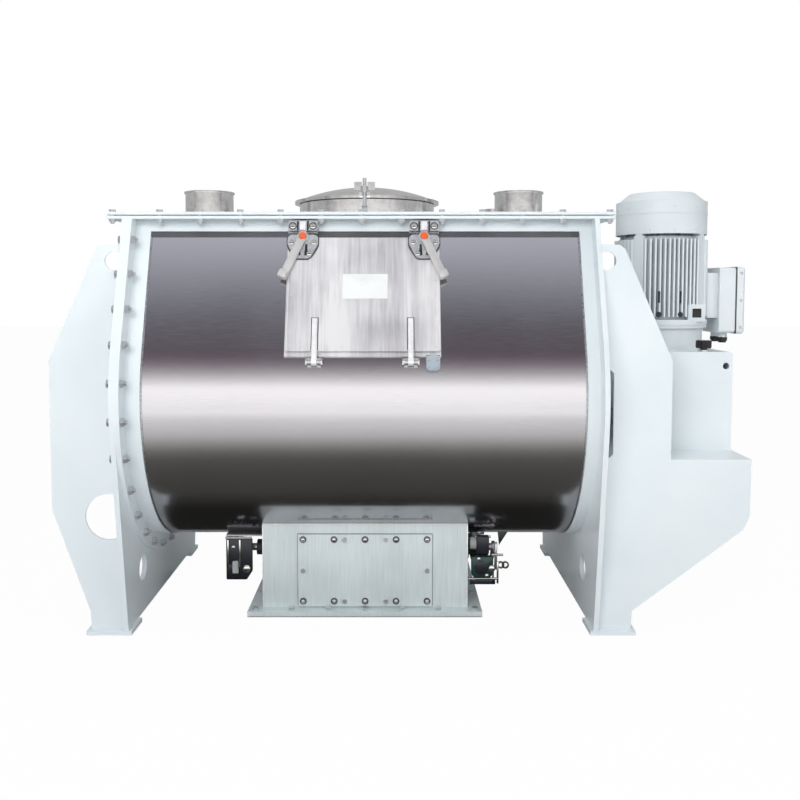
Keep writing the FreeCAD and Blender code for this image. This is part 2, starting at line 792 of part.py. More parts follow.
def motor_adapter():
    """Lantern between the gear case and the motor's flange, on a round foot."""
    foot_ring = tube(motor_x, 0, stand_top, AXIS_Z, motor_radius, adapter_radius - 60, 16)
    wall = tube(motor_x, 0, stand_top + 16, AXIS_Z, adapter_radius, adapter_radius - 14,
                adapter_height - 32)
    top_ring = tube(motor_x, 0, adapter_top - 16, AXIS_Z, motor_radius, adapter_radius - 60, 16)
    return join(foot_ring, wall, top_ring)


def fin_block(across, turn):
    """One side's parallel cooling fins, cut to the motor's round outline."""
    fins = []
    for index in range(fins_per_side):
        x = (index - (fins_per_side - 1) / 2) * fin_pitch
        outer = math.sqrt(motor_radius ** 2 - (abs(x) + fin_thickness / 2) ** 2)
        inner = math.sqrt(max(motor_core_radius ** 2 - (abs(x) + fin_thickness / 2) ** 2, 0)) - 2
        fin = box(x - fin_thickness / 2, x + fin_thickness / 2, inner, outer, 0, across)
        fin.rotate(ORIGIN, AXIS_Z, turn)
        fins.append(fin)
    return fins


def motor_body():
    """Finned motor frame with corner pads, round the rotor's chamber."""
    core = Part.makeCylinder(motor_core_radius, motor_length)
    flange = Part.makeCylinder(motor_flange_radius, motor_flange, V(0, 0, -motor_flange))
    fins = [fin for turn in (0, 90, 180, 270) for fin in fin_block(motor_length - 28, turn)]
    pads = []
    for turn in (45, 135, 225, 315):
        pad = box(motor_core_radius - 8, motor_radius - 6, -24, 24, 0, motor_length)
        pad.rotate(ORIGIN, AXIS_Z, turn)
        pads.append(pad)
    for fin in fins:
        fin.translate(V(0, 0, 14))
    body = join(core, flange, *pads, *fins)
    shield = 20
    chamber = Part.makeCylinder(rotor_core_radius + rotor_gap, motor_length - 2 * shield,
                                V(0, 0, shield))
    bore = Part.makeCylinder(rotor_shaft_radius + running_fit, motor_length + 2 * motor_flange,
                             V(0, 0, -motor_flange))
    body = body.cut(chamber).cut(bore)
    body.translate(V(motor_x, 0, motor_low))
    return body


def motor_cowl():
    """Fan cowl: thin revolved shell with a slotted crown, on four bosses."""
    def profile(gap):
        top = cowl_height - gap
        radius = cowl_radius - gap
        points = [(0, -1 if gap else 0), (radius, -1 if gap else 0), (radius, cowl_height * 0.79),
                  (radius - 9, cowl_height * 0.8), (cowl_crown_radius - gap, top), (0, top)]
        corners = [V(r, 0, z) for r, z in points]
        return Part.Face(Part.makePolygon(corners + corners[:1])).revolve(ORIGIN, AXIS_Z, 360)

    cowl = profile(0).cut(profile(cowl_wall))
    slots = []
    for index in range(16):
        slot = box(cowl_crown_radius * 0.34, cowl_crown_radius * 0.88, -6, 6,
                   cowl_height - 3 * cowl_wall, cowl_height + 1)
        slot.rotate(ORIGIN, AXIS_Z, index * 360 / 16)
        slots.append(slot)
    cowl = cowl.cut(Part.makeCompound(slots))
    bosses = []
    for turn in (45, 135, 225, 315):
        boss = box(motor_core_radius + 6, cowl_radius - cowl_wall / 2, -16, 16, -fin_depth_gap, 26)
        boss.rotate(ORIGIN, AXIS_Z, turn)
        bosses.append(boss)
    cowl = join(cowl, *bosses)
    cowl.translate(V(motor_x, 0, cowl_low))
    return cowl


def motor_rotor():
    """Rotor on its shaft, from the gear case's input to the fan."""
    low, high = rotor_low(), motor_high + fin_depth_gap + 72
    shaft = Part.makeCylinder(rotor_shaft_radius, high - low, V(motor_x, 0, low))
    core = Part.makeCylinder(rotor_core_radius, motor_length - 90, V(motor_x, 0, motor_low + 45))
    return join(shaft, core)


def motor_fan():
    """Radial fan under the cowl."""
    base = cowl_low + 22
    hub = tube(motor_x, 0, base, AXIS_Z, rotor_shaft_radius + 18, rotor_shaft_radius, 46)
    disc = tube(motor_x, 0, base, AXIS_Z, fan_radius - 10, rotor_shaft_radius, 5)
    blades = []
    for index in range(fan_blades):
        blade = box(rotor_shaft_radius + 8, fan_radius, -2.5, 2.5, 0, 62)
        blade.rotate(ORIGIN, AXIS_Z, index * 360 / fan_blades)
        blade.translate(V(motor_x, 0, base))
        blades.append(blade)
    return join(hub, disc, *blades)


def terminal_box():
    """Terminal box on the motor's right side, on its stepped base."""
    x0 = motor_x + motor_core_radius
    x1 = motor_x + motor_radius + terminal_base
    step = terminal_half_depth - 22
    base = box(x0, x1, -step, step, motor_low + terminal_flange_gap, terminal_high - 24)
    body = box(x1, x1 + terminal_body, -terminal_half_depth, terminal_half_depth, terminal_low,
               terminal_high)
    corners = [edge for edge in body.Edges if edge.BoundBox.YLength < 1 and edge.BoundBox.ZLength < 1]
    body = body.makeFillet(14, corners)
    glands = [tube(x1 + terminal_body / 2, side * 45, terminal_low - gland_length, AXIS_Z, 20, 11,
                   gland_length + 1) for side in (-1, 1)]
    clear = bar(motor_x, 0, terminal_low, AXIS_Z, motor_radius + soft_gap, terminal_width)
    return join(base, body, *glands).cut(clear)


def terminal_lid():
    """Cover of the terminal box."""
    x0 = motor_x + motor_radius + terminal_base + terminal_body
    cover = box(x0, x0 + terminal_cover, -terminal_half_depth - 4, terminal_half_depth + 4,
                terminal_low - 4, terminal_high + 4)
    corners = [edge for edge in cover.Edges if edge.BoundBox.YLength < 1 and edge.BoundBox.ZLength < 1]
    cover = cover.makeFillet(16, corners)
    rim = [edge for edge in cover.Edges if edge.BoundBox.XMin > x0 + terminal_cover - 0.01]
    return cover.makeChamfer(9, rim)


def breather():
    """Knurled breather cap on the motor stand."""
    x, y = motor_x + 103, -stand_half_depth + 70
    stem = bar(x, y, stand_top, AXIS_Z, 15, 12)
    cap = bar(x, y, stand_top + 12, AXIS_Z, 31, 34)
    grooves = []
    for index in range(12):
        angle = math.radians(index * 30)
        grooves.append(bar(x + 32 * math.cos(angle), y + 32 * math.sin(angle), stand_top + 12,
                           AXIS_Z, 4, 26))
    return join(stem, cap).cut(Part.makeCompound(grooves))


# ---------------------------------------------------------------- lid fittings
def inlet_nozzle(x):
    """Feed pipe with a clamp rim, on the lid's edge of its hole."""
    pipe = tube(x, 0, lid_top, AXIS_Z, nozzle_radius, nozzle_radius - nozzle_wall, nozzle_height)
    rim = tube(x, 0, lid_top + nozzle_height - nozzle_rim_height, AXIS_Z, nozzle_radius + nozzle_rim,
               nozzle_radius - nozzle_wall, nozzle_rim_height)
    return join(pipe, rim)


def vent_nozzle():
    """Small vent pipe behind the right feed pipe."""
    pipe = tube(vent_x, vent_y, lid_top, AXIS_Z, vent_radius, vent_radius - nozzle_wall, vent_height)
    rim = tube(vent_x, vent_y, lid_top + vent_height - nozzle_rim_height, AXIS_Z,
               vent_radius + nozzle_rim, vent_radius - nozzle_wall, nozzle_rim_height)
    return join(pipe, rim)


def manhole_hinge_depth():
    """Hinge axis behind the manhole."""
    return manhole_rim_radius + manhole_hinge_reach


def manhole_hinge_height():
    """Height of the manhole's hinge axis."""
    return manhole_lid_low + manhole_rim_height / 2


def swing_depth():
    """Axis of the swing bolt in front of the manhole."""
    return manhole_rim_radius + swing_reach


def swing_height():
    """Height of the swing bolt's pivot."""
    return lid_top + 24


def manhole_collar():
    """Neck of the manhole with hinge ears behind and swing bolt ears in front."""
    x, neck = hatch_middle, manhole_radius
    collar = tube(x, 0, lid_top, AXIS_Z, neck, neck - manhole_wall, manhole_height)
    ears = []
    for start in (-44, 30):
        ear = slab([(neck - 3, lid_top + 8), (manhole_hinge_depth() - 14, lid_top + 8),
                    (manhole_hinge_depth() + 15, manhole_hinge_height() - 8),
                    (manhole_hinge_depth() + 15, manhole_hinge_height() + 15),
                    (manhole_hinge_depth() - 15, manhole_hinge_height() + 15),
                    (manhole_hinge_depth() - 15, collar_top - 12), (neck - 3, collar_top - 12)],
                   x + start, 14)
        ears.append(ear.cut(bar(x + start, manhole_hinge_depth(), manhole_hinge_height(), AXIS_X,
                                hinge_pin_radius + running_fit, 14)))
    for start in (-24, 12):
        ear = slab([(-neck + 3, lid_top + 4), (-swing_depth() - 13, lid_top + 4),
                    (-swing_depth() - 13, swing_height() + 13), (-neck + 3, swing_height() + 13)],
                   x + start, 12)
        ears.append(ear.cut(bar(x + start, -swing_depth(), swing_height(), AXIS_X,
                                swing_bolt_radius + running_fit, 12)))
    chamber = bar(x, 0, lid_top, AXIS_Z, neck - manhole_wall, manhole_height)
    return join(collar, *ears).cut(chamber)


def manhole_gasket():
    """Rubber ring on the manhole's neck."""
    return tube(hatch_middle, 0, collar_top, AXIS_Z, manhole_radius, manhole_radius - 14, manhole_seal)


def manhole_lid():
    """Dished manhole lid with its rim, hinge knuckle and slotted ear."""
    x, rim = hatch_middle, manhole_rim_radius
    wall, height = manhole_lid_wall, manhole_rim_height
    dish = rim - 12
    crown = (dish ** 2 + manhole_dome ** 2) / (2 * manhole_dome)
    centre = V(0, 0, height + manhole_dome - crown)
    dome = Part.makeSphere(crown, centre).common(
        Part.makeCylinder(dish, height + manhole_dome, V(0, 0, height / 2)))
    hollow = Part.makeSphere(crown - wall, centre).common(
        Part.makeCylinder(rim - 30, height + manhole_dome, V(0, 0, -1)))
    hollow = hollow.fuse(Part.makeCylinder(rim - 30, height / 2 + 1, V(0, 0, -1)))
    shell = join(Part.makeCylinder(rim, height), dome).cut(hollow)
    shell.translate(V(x, 0, manhole_lid_low))
    knuckle_y, knuckle_z = manhole_hinge_depth(), manhole_hinge_height()
    knuckle = join(box(x - 28, x + 28, rim - 8, knuckle_y, knuckle_z - 11, knuckle_z + 11),
                   bar(x - 28, knuckle_y, knuckle_z, AXIS_X, 14, 56))
    knuckle = knuckle.cut(bar(x - 28, knuckle_y, knuckle_z, AXIS_X,
                              hinge_pin_radius + running_fit, 56))
    ear = box(x - 24, x + 24, -swing_depth() - 16, -rim + 8, manhole_lid_low + 4, manhole_lid_low + 18)
    slot = box(x - swing_bolt_radius - 2, x + swing_bolt_radius + 2, -swing_depth() - 20,
               -swing_depth() + swing_bolt_radius + 2, manhole_lid_low, manhole_lid_low + 30)
    return join(shell, knuckle, ear).cut(slot)


def swing_bolt():
    """Eye bolt that swings up into the lid's slotted ear."""
    x, y, z = hatch_middle, -swing_depth(), swing_height()
    eye = bar(x - 11.5, y, z, AXIS_X, 15, 23)
    pin = bar(x - 24, y, z, AXIS_X, swing_bolt_radius, 48)
    stem = bar(x, y, z, AXIS_Z, swing_bolt_radius, swing_bolt_length)
    return join(eye, pin, stem)


def wing_nut():
    """Wing nut on the swing bolt, clamping the lid's ear."""
    x, y, low = hatch_middle, -swing_depth(), manhole_lid_low + 18 + wing_nut_gap
    hub = bar(x, y, low, AXIS_Z, 17, 24)
    wings = [box(x - 44, x - 12, y - 4, y + 4, low + 8, low + 42),
             box(x + 12, x + 44, y - 4, y + 4, low + 8, low + 42)]
    nut = join(hub, *wings)
    return nut.cut(bar(x, y, low, AXIS_Z, swing_bolt_radius + running_fit, 60))


# ---------------------------------------------------------------- door
def hinge_place():
    """Door hinge axis in the wall's plane: (outwards, up the wall)."""
    return -hinge_stand, door_low - hinge_drop


def door_frame():
    """Frame welded round the door's opening."""
    half = door_width / 2 + door_frame_margin
    low = door_low - door_frame_sill
    opening_low = door_low + (door_height - door_opening_height) / 2
    plate = box(-half, half, -door_frame_plate, 0, low, door_low + door_height + door_frame_margin)
    hole = box(-door_opening_width / 2, door_opening_width / 2, -door_frame_plate, 0, opening_low,
               opening_low + door_opening_height)
    return on_front_wall(plate.cut(hole), hatch_middle)


def door_gasket():
    """Rubber strip on the frame round the opening."""
    half_x = door_opening_width / 2
    low = door_low + (door_height - door_opening_height) / 2
    front = -door_frame_plate - door_seal
    strip = box(-half_x - door_seal_width, half_x + door_seal_width, front, -door_frame_plate,
                low - door_seal_width, low + door_opening_height + door_seal_width)
    hole = box(-half_x, half_x, front, -door_frame_plate, low, low + door_opening_height)
    return on_front_wall(strip.cut(hole), hatch_middle)


def door_face():
    """Outer face of the door, out of the wall."""
    return door_frame_plate + door_seal + door_plate


def door():
    """Door panel with a raised rim round its face."""
    half, front = door_width / 2, -door_face()
    plate = box(-half, half, front, front + door_plate, door_low, door_low + door_height)
    upright = [edge for edge in plate.Edges if edge.BoundBox.YLength > door_plate - 0.1]
    plate = plate.makeFillet(12, upright)
    rim = [edge for edge in plate.Edges if edge.BoundBox.YMax < front + 0.01]
    plate = plate.makeChamfer(2, rim)
    return on_front_wall(plate, hatch_middle)


def hinge_straps():
    """Two straps on the door that end in knuckles round the hinge pins."""
    out, up = hinge_place()
    straps = []
    for x in (-hinge_spacing / 2, hinge_spacing / 2):
        front = -door_face() - strap_plate
        strap = box(x - strap_width / 2, x + strap_width / 2, front, front + strap_plate, up,
                    up + strap_length)
        knuckle = bar(x - strap_width / 2, out, up, AXIS_X, 16, strap_width)
        bore = bar(x - strap_width / 2, out, up, AXIS_X, hinge_pin_radius + running_fit, strap_width)
        straps.append(on_front_wall(join(strap, knuckle).cut(bore), hatch_middle))
    return straps


def hinge_brackets():
    """Pairs of ears on the trough that hold the door's hinge pins."""
    out, up = hinge_place()
    ears = []
    for x in (-hinge_spacing / 2, hinge_spacing / 2):
        for start in (x - strap_width / 2 - 15, x + strap_width / 2 + 1):
            ear = join(box(start, start + 14, out, 14, up - 16, up + 16),
                       bar(start, out, up, AXIS_X, 16, 14))
            ear = ear.cut(bar(start, out, up, AXIS_X, hinge_pin_radius, 14))
            ears.append(on_front_wall(ear, hatch_middle).cut(
                trough_block(left_face, right_face, shell_top)))
    return ears


def hinge_pins():
    """Pins of the door's hinges and of the manhole's hinge."""
    out, up = hinge_place()
    length = strap_width + 44
    pins = []
    for x in (-hinge_spacing / 2, hinge_spacing / 2):
        pins.append(on_front_wall(bar(x - length / 2, out, up, AXIS_X, hinge_pin_radius, length),
                                  hatch_middle))
    pins.append(bar(hatch_middle - 50, manhole_hinge_depth(), manhole_hinge_height(), AXIS_X,
                    hinge_pin_radius, 100))
    return pins


def latch_place(side):
    """Latch pivot in the wall's plane: (along, up the wall)."""
    return side * latch_spacing / 2, door_low + door_height - 2


def latch_bases():
    """Rounded brackets on the door's upper corners with the latch pivots."""
    bases = []
    for side in (-1, 1):
        x, up = latch_place(side)
        front = -door_face() - 6
        plate = panel([(x - 62, up + 12), (x - 62, up - 30), (x - 30, up - 92), (x + 30, up - 92),
                       (x + 62, up - 30), (x + 62, up + 12)], front, 6)
        plate = plate.makeFillet(20, [edge for edge in plate.Edges if edge.BoundBox.YLength > 5.9])
        pin = bar(x, front, up, V(0, -1, 0), latch_pin_radius, latch_plate + soft_gap)
        bases.append(on_front_wall(join(plate, pin), hatch_middle))
    return bases


def latch_handle(side):
    """Latch: a splayed handle with a turned-out tip and a tongue under the keeper."""
    x, up = latch_place(side)
    back = -door_face() - 6 - soft_gap
    front = back - latch_plate
    half = latch_arm_width / 2
    hub = bar(x, front, up, AXIS_Y, half + 5, latch_plate)
    arm = box(x - half, x + half, front, back, up - latch_arm_length, up)
    tip = box(x - half, x + half, front - 26, back, up - latch_arm_length - latch_plate,
              up - latch_arm_length)
    arm = join(arm, tip)
    arm.rotate(V(x, 0, up), AXIS_Y, -side * latch_splay)
    tongue = box(x - 14, x + 14, front, back, up, up + 46)
    bore = bar(x, front, up, AXIS_Y, latch_pin_radius + running_fit, latch_plate)
    return on_front_wall(join(hub, arm, tongue).cut(bore), hatch_middle)


def latch_cap(side):
    """Coloured cap over a latch's pivot."""
    x, up = latch_place(side)
    front = -door_face() - 6 - 2 * soft_gap - latch_plate
    cap = bar(x, front, up, V(0, -1, 0), latch_cap_radius, 13)
    crown = [edge for edge in cap.Edges if edge.BoundBox.YMax < front - 12.9]
    return on_front_wall(cap.makeChamfer(4, crown), hatch_middle)


def latch_keepers():
    """Hooked blocks above the door: a lip holds each latch's tongue."""
    keepers = []
    for side in (-1, 1):
        x, up = latch_place(side)
        low, high = up + 18, up + 18 + keeper_height
        back = -(band_wall - shell_wall)
        step = -door_face() - 6 + soft_gap
        lip_back = step - latch_plate - 4 * soft_gap
        outline = [(back, low), (step, low), (step, high - 9), (lip_back, high - 9), (lip_back, low + 6),
                   (lip_back - 7, low + 6), (lip_back - 7, high), (back, high)]
        keeper = slab(outline, x - keeper_width / 2, keeper_width)
        lobes = [edge for edge in keeper.Edges if edge.BoundBox.ZMin > high - 0.1
                 and edge.BoundBox.XLength < 1]
        keepers.append(on_front_wall(keeper.makeFillet(keeper_lobe, lobes), hatch_middle))
    return keepers


def limit_switch():
    """Safety switch beside the right hinge, with its actuator stub."""
    low = door_low - door_frame_sill
    body = box(250, 304, -38, 12, low - 62, low - 4)
    rounded = [edge for edge in body.Edges if edge.BoundBox.YLength > 49 and edge.BoundBox.ZMax < low - 61]
    body = body.makeFillet(16, rounded)
    stub = box(264, 290, -38, -door_frame_plate - 1, low - 5, low + 6)
    switch = on_front_wall(join(body, stub), hatch_middle)
    return switch.cut(trough_block(left_face, right_face, shell_top))


# ---------------------------------------------------------------- discharge
def chute_ends():
    """Outer faces of the chute along X."""
    return hatch_middle - chute_width / 2, hatch_middle + chute_width / 2


def chute_flange_bolt_places():
    """Points (x, y) of the bolts in the chute's bottom flange."""
    x0, x1 = chute_ends()
    out = chute_flange_lip / 2
    places = []
    for index in range(7):
        x = x0 - out + index * (chute_width + 2 * out) / 6
        places += [(x, -chute_half_depth - out), (x, chute_half_depth + out)]
    for y in (-0.5, 0.0, 0.5):
        places += [(x0 - out, y * chute_half_depth), (x1 + out, y * chute_half_depth)]
    return places


def access_bolt_places():
    """Points (x, z) of the access plate's bolts."""
    low = chute_low + chute_flange + 6
    half = access_width / 2 - access_margin
    places = []
    for column in range(4):
        x = hatch_middle - half + column * 2 * half / 3
        rows = (0.0, 0.5, 1.0) if column in (0, 3) else (0.0, 1.0)
        places += [(x, low + access_margin + row * (access_height - 2 * access_margin))
                   for row in rows]
    return places


def chute():
    """Discharge housing from the trough's belly down to its flange."""
    x0, x1 = chute_ends()
    wall, lip, depth = chute_wall, chute_flange_lip, chute_half_depth
    outer = box(x0, x1, -depth, depth, chute_low, drum_height - drum_radius / 2)
    inner = box(x0 + wall, x1 - wall, -depth + wall, depth - wall, chute_low - 1, drum_height)
    flange = box(x0 - lip, x1 + lip, -depth - lip, depth + lip, chute_low, chute_low + chute_flange)
    for x, y in chute_flange_bolt_places():
        flange = flange.cut(bar(x, y, chute_low, AXIS_Z, 8, chute_flange))
    body = join(outer, flange).cut(inner).cut(trough_block(left_face, right_face, shell_top))
    margin = 2 * access_margin
    low = chute_low + chute_flange + 6 + margin
    hatch = box(hatch_middle - access_width / 2 + margin, hatch_middle + access_width / 2 - margin,
                -depth, -depth + wall, low, low + access_height - 2 * margin)
    cuts = [hatch]
    for x, z in access_bolt_places():
        cuts.append(bar(x, -depth, z, AXIS_Y, 6, wall))
    for side in (-1, 1):
        cuts.append(bar(x0 - 1, side * gate_shaft_depth, gate_shaft_height, AXIS_X,
                        gate_shaft_radius + 2, chute_width + 2))
    return body.cut(Part.makeCompound(cuts))


def access_cover():
    """Bolted plate over the chute's front hatch."""
    low = chute_low + chute_flange + 6
    plate = box(hatch_middle - access_width / 2, hatch_middle + access_width / 2,
                -chute_half_depth - access_plate, -chute_half_depth, low, low + access_height)
    for x, z in access_bolt_places():
        plate = plate.cut(bar(x, -chute_half_depth - access_plate, z, AXIS_Y, 6, access_plate))
    return plate


def chute_bolts():
    """Bolts of the access plate and of the bottom flange."""
    bolts = [bolt(x, -chute_half_depth - access_plate, z, AXIS_Y, 6, access_plate + chute_wall)
             for x, z in access_bolt_places()]
    bolts += [bolt(x, y, chute_low + chute_flange, V(0, 0, -1), 8, chute_flange - 2, nut=False)
              for x, y in chute_flange_bolt_places()]
    return bolts


def gate_bearings():
    """Flanged bearings of the two gate shafts on the chute's side walls."""
    x0, x1 = chute_ends()
    units = []
    for side in (-1, 1):
        for x, way in ((x0, -1), (x1, 1)):
            start = x if way > 0 else x - gate_bearing_length
            plate = x if way > 0 else x - 12
            unit = join(bar(start, side * gate_shaft_depth, gate_shaft_height, AXIS_X, 34,
                            gate_bearing_length),
                        bar(plate, side * gate_shaft_depth, gate_shaft_height, AXIS_X, 52, 12))
            units.append(unit.cut(bar(start, side * gate_shaft_depth, gate_shaft_height, AXIS_X,
                                      gate_shaft_radius + running_fit, gate_bearing_length)))
    return units


def gate_flap():
    """Front half of the drop gate: a curved flap on three arms with hubs."""
    half = gate_width / 2 - gate_gap
    window = box(hatch_middle - half, hatch_middle + half, -gate_half_depth + gate_gap, -gate_gap,
                 0, drum_height - drum_radius / 2)
    flap = trough_wall(hatch_middle - half, hatch_middle + half, shell_top, 0.0, -shell_wall)
    flap = flap.common(window)
    y, z, hub = gate_shaft_depth, gate_shaft_height, gate_hub_radius
    tip, root = gate_arm_tip, gate_half_depth - 3 * gate_gap
    outline = [(-y, z - hub), (-tip - hub, drum_underside(tip + hub) - gate_arm_plate * 3),
               (-tip, drum_underside(tip) + gate_arm_plate),
               (-root, drum_underside(root) + gate_arm_plate),
               (-root, drum_underside(root) - gate_arm_plate), (-y, z + hub)]
    arms = []
    for share in (-0.8, 0.0, 0.8):
        x = hatch_middle + share * half
        arm = slab(outline, x - gate_arm_plate / 2, gate_arm_plate)
        arm = arm.cut(trough_block(left_face, right_face, shell_top))
        arms += [arm, bar(x - gate_hub_length / 2, -y, z, AXIS_X, hub, gate_hub_length)]
    bore = bar(hatch_middle - half, -y, z, AXIS_X, gate_shaft_radius, 2 * half)
    return join(flap, *arms).cut(bore)


def lever_x():
    """Left face of the gate levers."""
    return chute_ends()[1] + gate_lever_offset


def lever_end():
    """End of the front lever when the gate is shut: (y, z)."""
    angle = math.radians(gate_lever_angle)
    return (-gate_shaft_depth + gate_lever * math.sin(angle),
            gate_shaft_height - gate_lever * math.cos(angle))


def gate_shaft(long_left):
    """Front gate shaft with its lever and the cylinder's pin."""
    x0 = chute_ends()[0] - (gate_switch_end if long_left else gate_shaft_end)
    x1 = lever_x() + gate_lever_plate + 4
    y, z = -gate_shaft_depth, gate_shaft_height
    shaft = bar(x0, y, z, AXIS_X, gate_shaft_radius, x1 - x0)
    end_y, end_z = lever_end()
    start = lever_x()
    along = V(0, end_y - y, end_z - z).normalize()
    across = V(0, -along.z, along.y)
    corners = [V(start, y, z) + across * 26, V(start, end_y, end_z) + across * 17,
               V(start, end_y, end_z) - across * 17, V(start, y, z) - across * 26]
    web = Part.Face(Part.makePolygon(corners + corners[:1])).extrude(V(gate_lever_plate, 0, 0))
    lever = join(web, bar(start, y, z, AXIS_X, 26, gate_lever_plate),
                 bar(start, end_y, end_z, AXIS_X, 17, gate_lever_plate))
    pin = bar(start - cylinder_offset - 20, end_y, end_z, AXIS_X, 8, cylinder_offset + 22)
    return join(shaft, lever, pin)


def air_cylinder():
    """Pneumatic cylinder between the two levers, on the front lever's pin."""
    x = lever_x() - cylinder_offset
    y, z = lever_end()
    start = y + 30
    barrel = bar(x, start, z, AXIS_Y, cylinder_radius, cylinder_length)
    bore = bar(x, start + 6, z, AXIS_Y, cylinder_radius - 6, cylinder_length - 12)
    rod_hole = bar(x, start + 100, z, AXIS_Y, cylinder_rod_radius + running_fit, cylinder_length)
    eye = join(bar(x - 12, y, z, AXIS_X, 18, 24), box(x - 12, x + 12, y, start + 2, z - 14, z + 14))
    body = join(barrel.cut(bore), eye)
    pin = bar(x - 12, y, z, AXIS_X, 8 + running_fit, 24)
    return body.cut(pin).cut(rod_hole)


def cylinder_rod():
    """Piston rod with a slotted eye on the rear lever's pin."""
    x = lever_x() - cylinder_offset
    y, z = lever_end()
    inside = y + 30 + 7
    piston = bar(x, inside, z, AXIS_Y, cylinder_radius - 6 - running_fit, 5)
    rod = bar(x, inside, z, AXIS_Y, cylinder_rod_radius, -y - 22 - inside)
    eye = box(x - 12, x + 12, -y - 24, -y + 24, z - 17, z + 17)
    slot = join(box(x - 12, x + 12, -y - 6, -y + 6, z - 8.5, z + 8.5),
                bar(x - 12, -y - 6, z, AXIS_X, 8.5, 24), bar(x - 12, -y + 6, z, AXIS_X, 8.5, 24))
    return join(piston, rod, eye).cut(slot)


def switch_box():
    """Gate position switch on the front shaft's left end."""
    x = chute_ends()[0] - gate_switch_end + 4
    y, z = -gate_shaft_depth, gate_shaft_height
    body = join(box(x, x + 50, y - 50, y + 50, z - 60, z + 38),
                box(x - 4, x + 54, y - 54, y + 54, z - 66, z - 60))
    return body.cut(bar(x - 5, y, z, AXIS_X, gate_shaft_radius + running_fit, 60))


def switch_bracket():
    """Galvanised bracket that hangs the position switch from the chute's wall."""
    x0 = chute_ends()[0]
    x = x0 - gate_switch_end + 4
    y, z = -gate_shaft_depth, gate_shaft_height
    top = box(x - 6, x0, y - 44, y + 44, z + 60, z + 66)
    plates = [box(x - 6, x, y - 44, y + 44, z - 50, z + 66),
              box(x + 50, x + 56, y - 44, y + 44, z - 50, z + 66)]
    foot_plate_part = box(x0 - 6, x0, y - 44, y + 44, z + 56, z + 96)
    bracket = join(top, foot_plate_part, *plates)
    bracket = bracket.cut(bar(x - 6, y, z, AXIS_X, gate_shaft_radius + 3, 166))
    return bracket.cut(trough_block(left_face, right_face, shell_top, soft_gap))


# ---------------------------------------------------------------- files
save("trough_shell", trough_shell())
save("left_band", left_band())
save("right_band", right_band())
save("top_frame", top_frame())
save("lid_gasket", lid_gasket())
save("lid_plate", lid())
save("lid_bolts", *lid_bolts())
save("left_end_plate", left_end_plate())
save("right_end_plate", rough_end_plate(right_face))
save("left_flange_bolts", *left_flange_bolts())
left_front = left_panel()
right_front = right_panel()
save("left_leg_panels", left_front, mirrored(left_front))
save("right_leg_panels", right_front, mirrored(right_front))
save("foot_plates", *foot_plates())
save("drive_shelf", drive_shelf())
save("motor_stand", motor_stand())
save("shaft_bearings", bearing_unit(left_out, -1), bearing_unit(right_out, 1))
save("shaft_seals", shaft_seal(left_out, -1), shaft_seal(right_out, 1))
save("main_shaft", main_shaft())
save("outer_ribbons", *outer_ribbons())
save("inner_ribbons", *inner_ribbons())
save("ribbon_arms", *ribbon_arms())
save("gearbox", gearbox())
save("motor_adapter", motor_adapter())
save("motor_body", motor_body())
save("motor_cowl", motor_cowl())
save("motor_rotor", motor_rotor())
save("motor_fan", motor_fan())
save("terminal_box", terminal_box())
save("terminal_lid", terminal_lid())
save("breather", breather())
save("lid_nozzles", inlet_nozzle(nozzle_left), inlet_nozzle(nozzle_right), vent_nozzle())
save("manhole_collar", manhole_collar())
save("manhole_lid", manhole_lid())
save("swing_bolt", swing_bolt())
save("wing_nut", wing_nut())
save("door_frame", door_frame())
save("hatch_gaskets", door_gasket(), manhole_gasket())
save("door_panel", door())
save("door_hinge_straps", *hinge_straps())
save("door_hinge_brackets", *hinge_brackets())
save("hinge_pins", *hinge_pins())
save("latch_bases", *latch_bases())
save("latch_keepers", *latch_keepers())
for word, sign in (("left", -1), ("right", 1)):
    save(f"latch_handle_{word}", latch_handle(sign))
    save(f"latch_cap_{word}", latch_cap(sign))
save("limit_switch", limit_switch())
save("discharge_chute", chute())
save("chute_access_plate", access_cover())
save("chute_bolts", *chute_bolts())
save("gate_bearings", *gate_bearings())
front_flap = gate_flap()
save("gate_flap_front", front_flap)
save("gate_flap_rear", mirrored(front_flap))
save("gate_shaft_front", gate_shaft(True))
save("gate_shaft_rear", mirrored(gate_shaft(False)))
save("air_cylinder", air_cylinder())
save("cylinder_rod", cylinder_rod())
save("switch_box", switch_box())
save("switch_bracket", switch_bracket())
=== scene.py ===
"""Ribbon blender: finishes, fine pieces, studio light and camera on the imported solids.

Metres, +X along the agitator shaft towards the drive, -Y is the operator's side, +Z up.
"""
import json
import logging
import math
from dataclasses import dataclass
from enum import Enum
from typing import Optional, Union

import bmesh
import bpy
from mathutils import Matrix, Vector

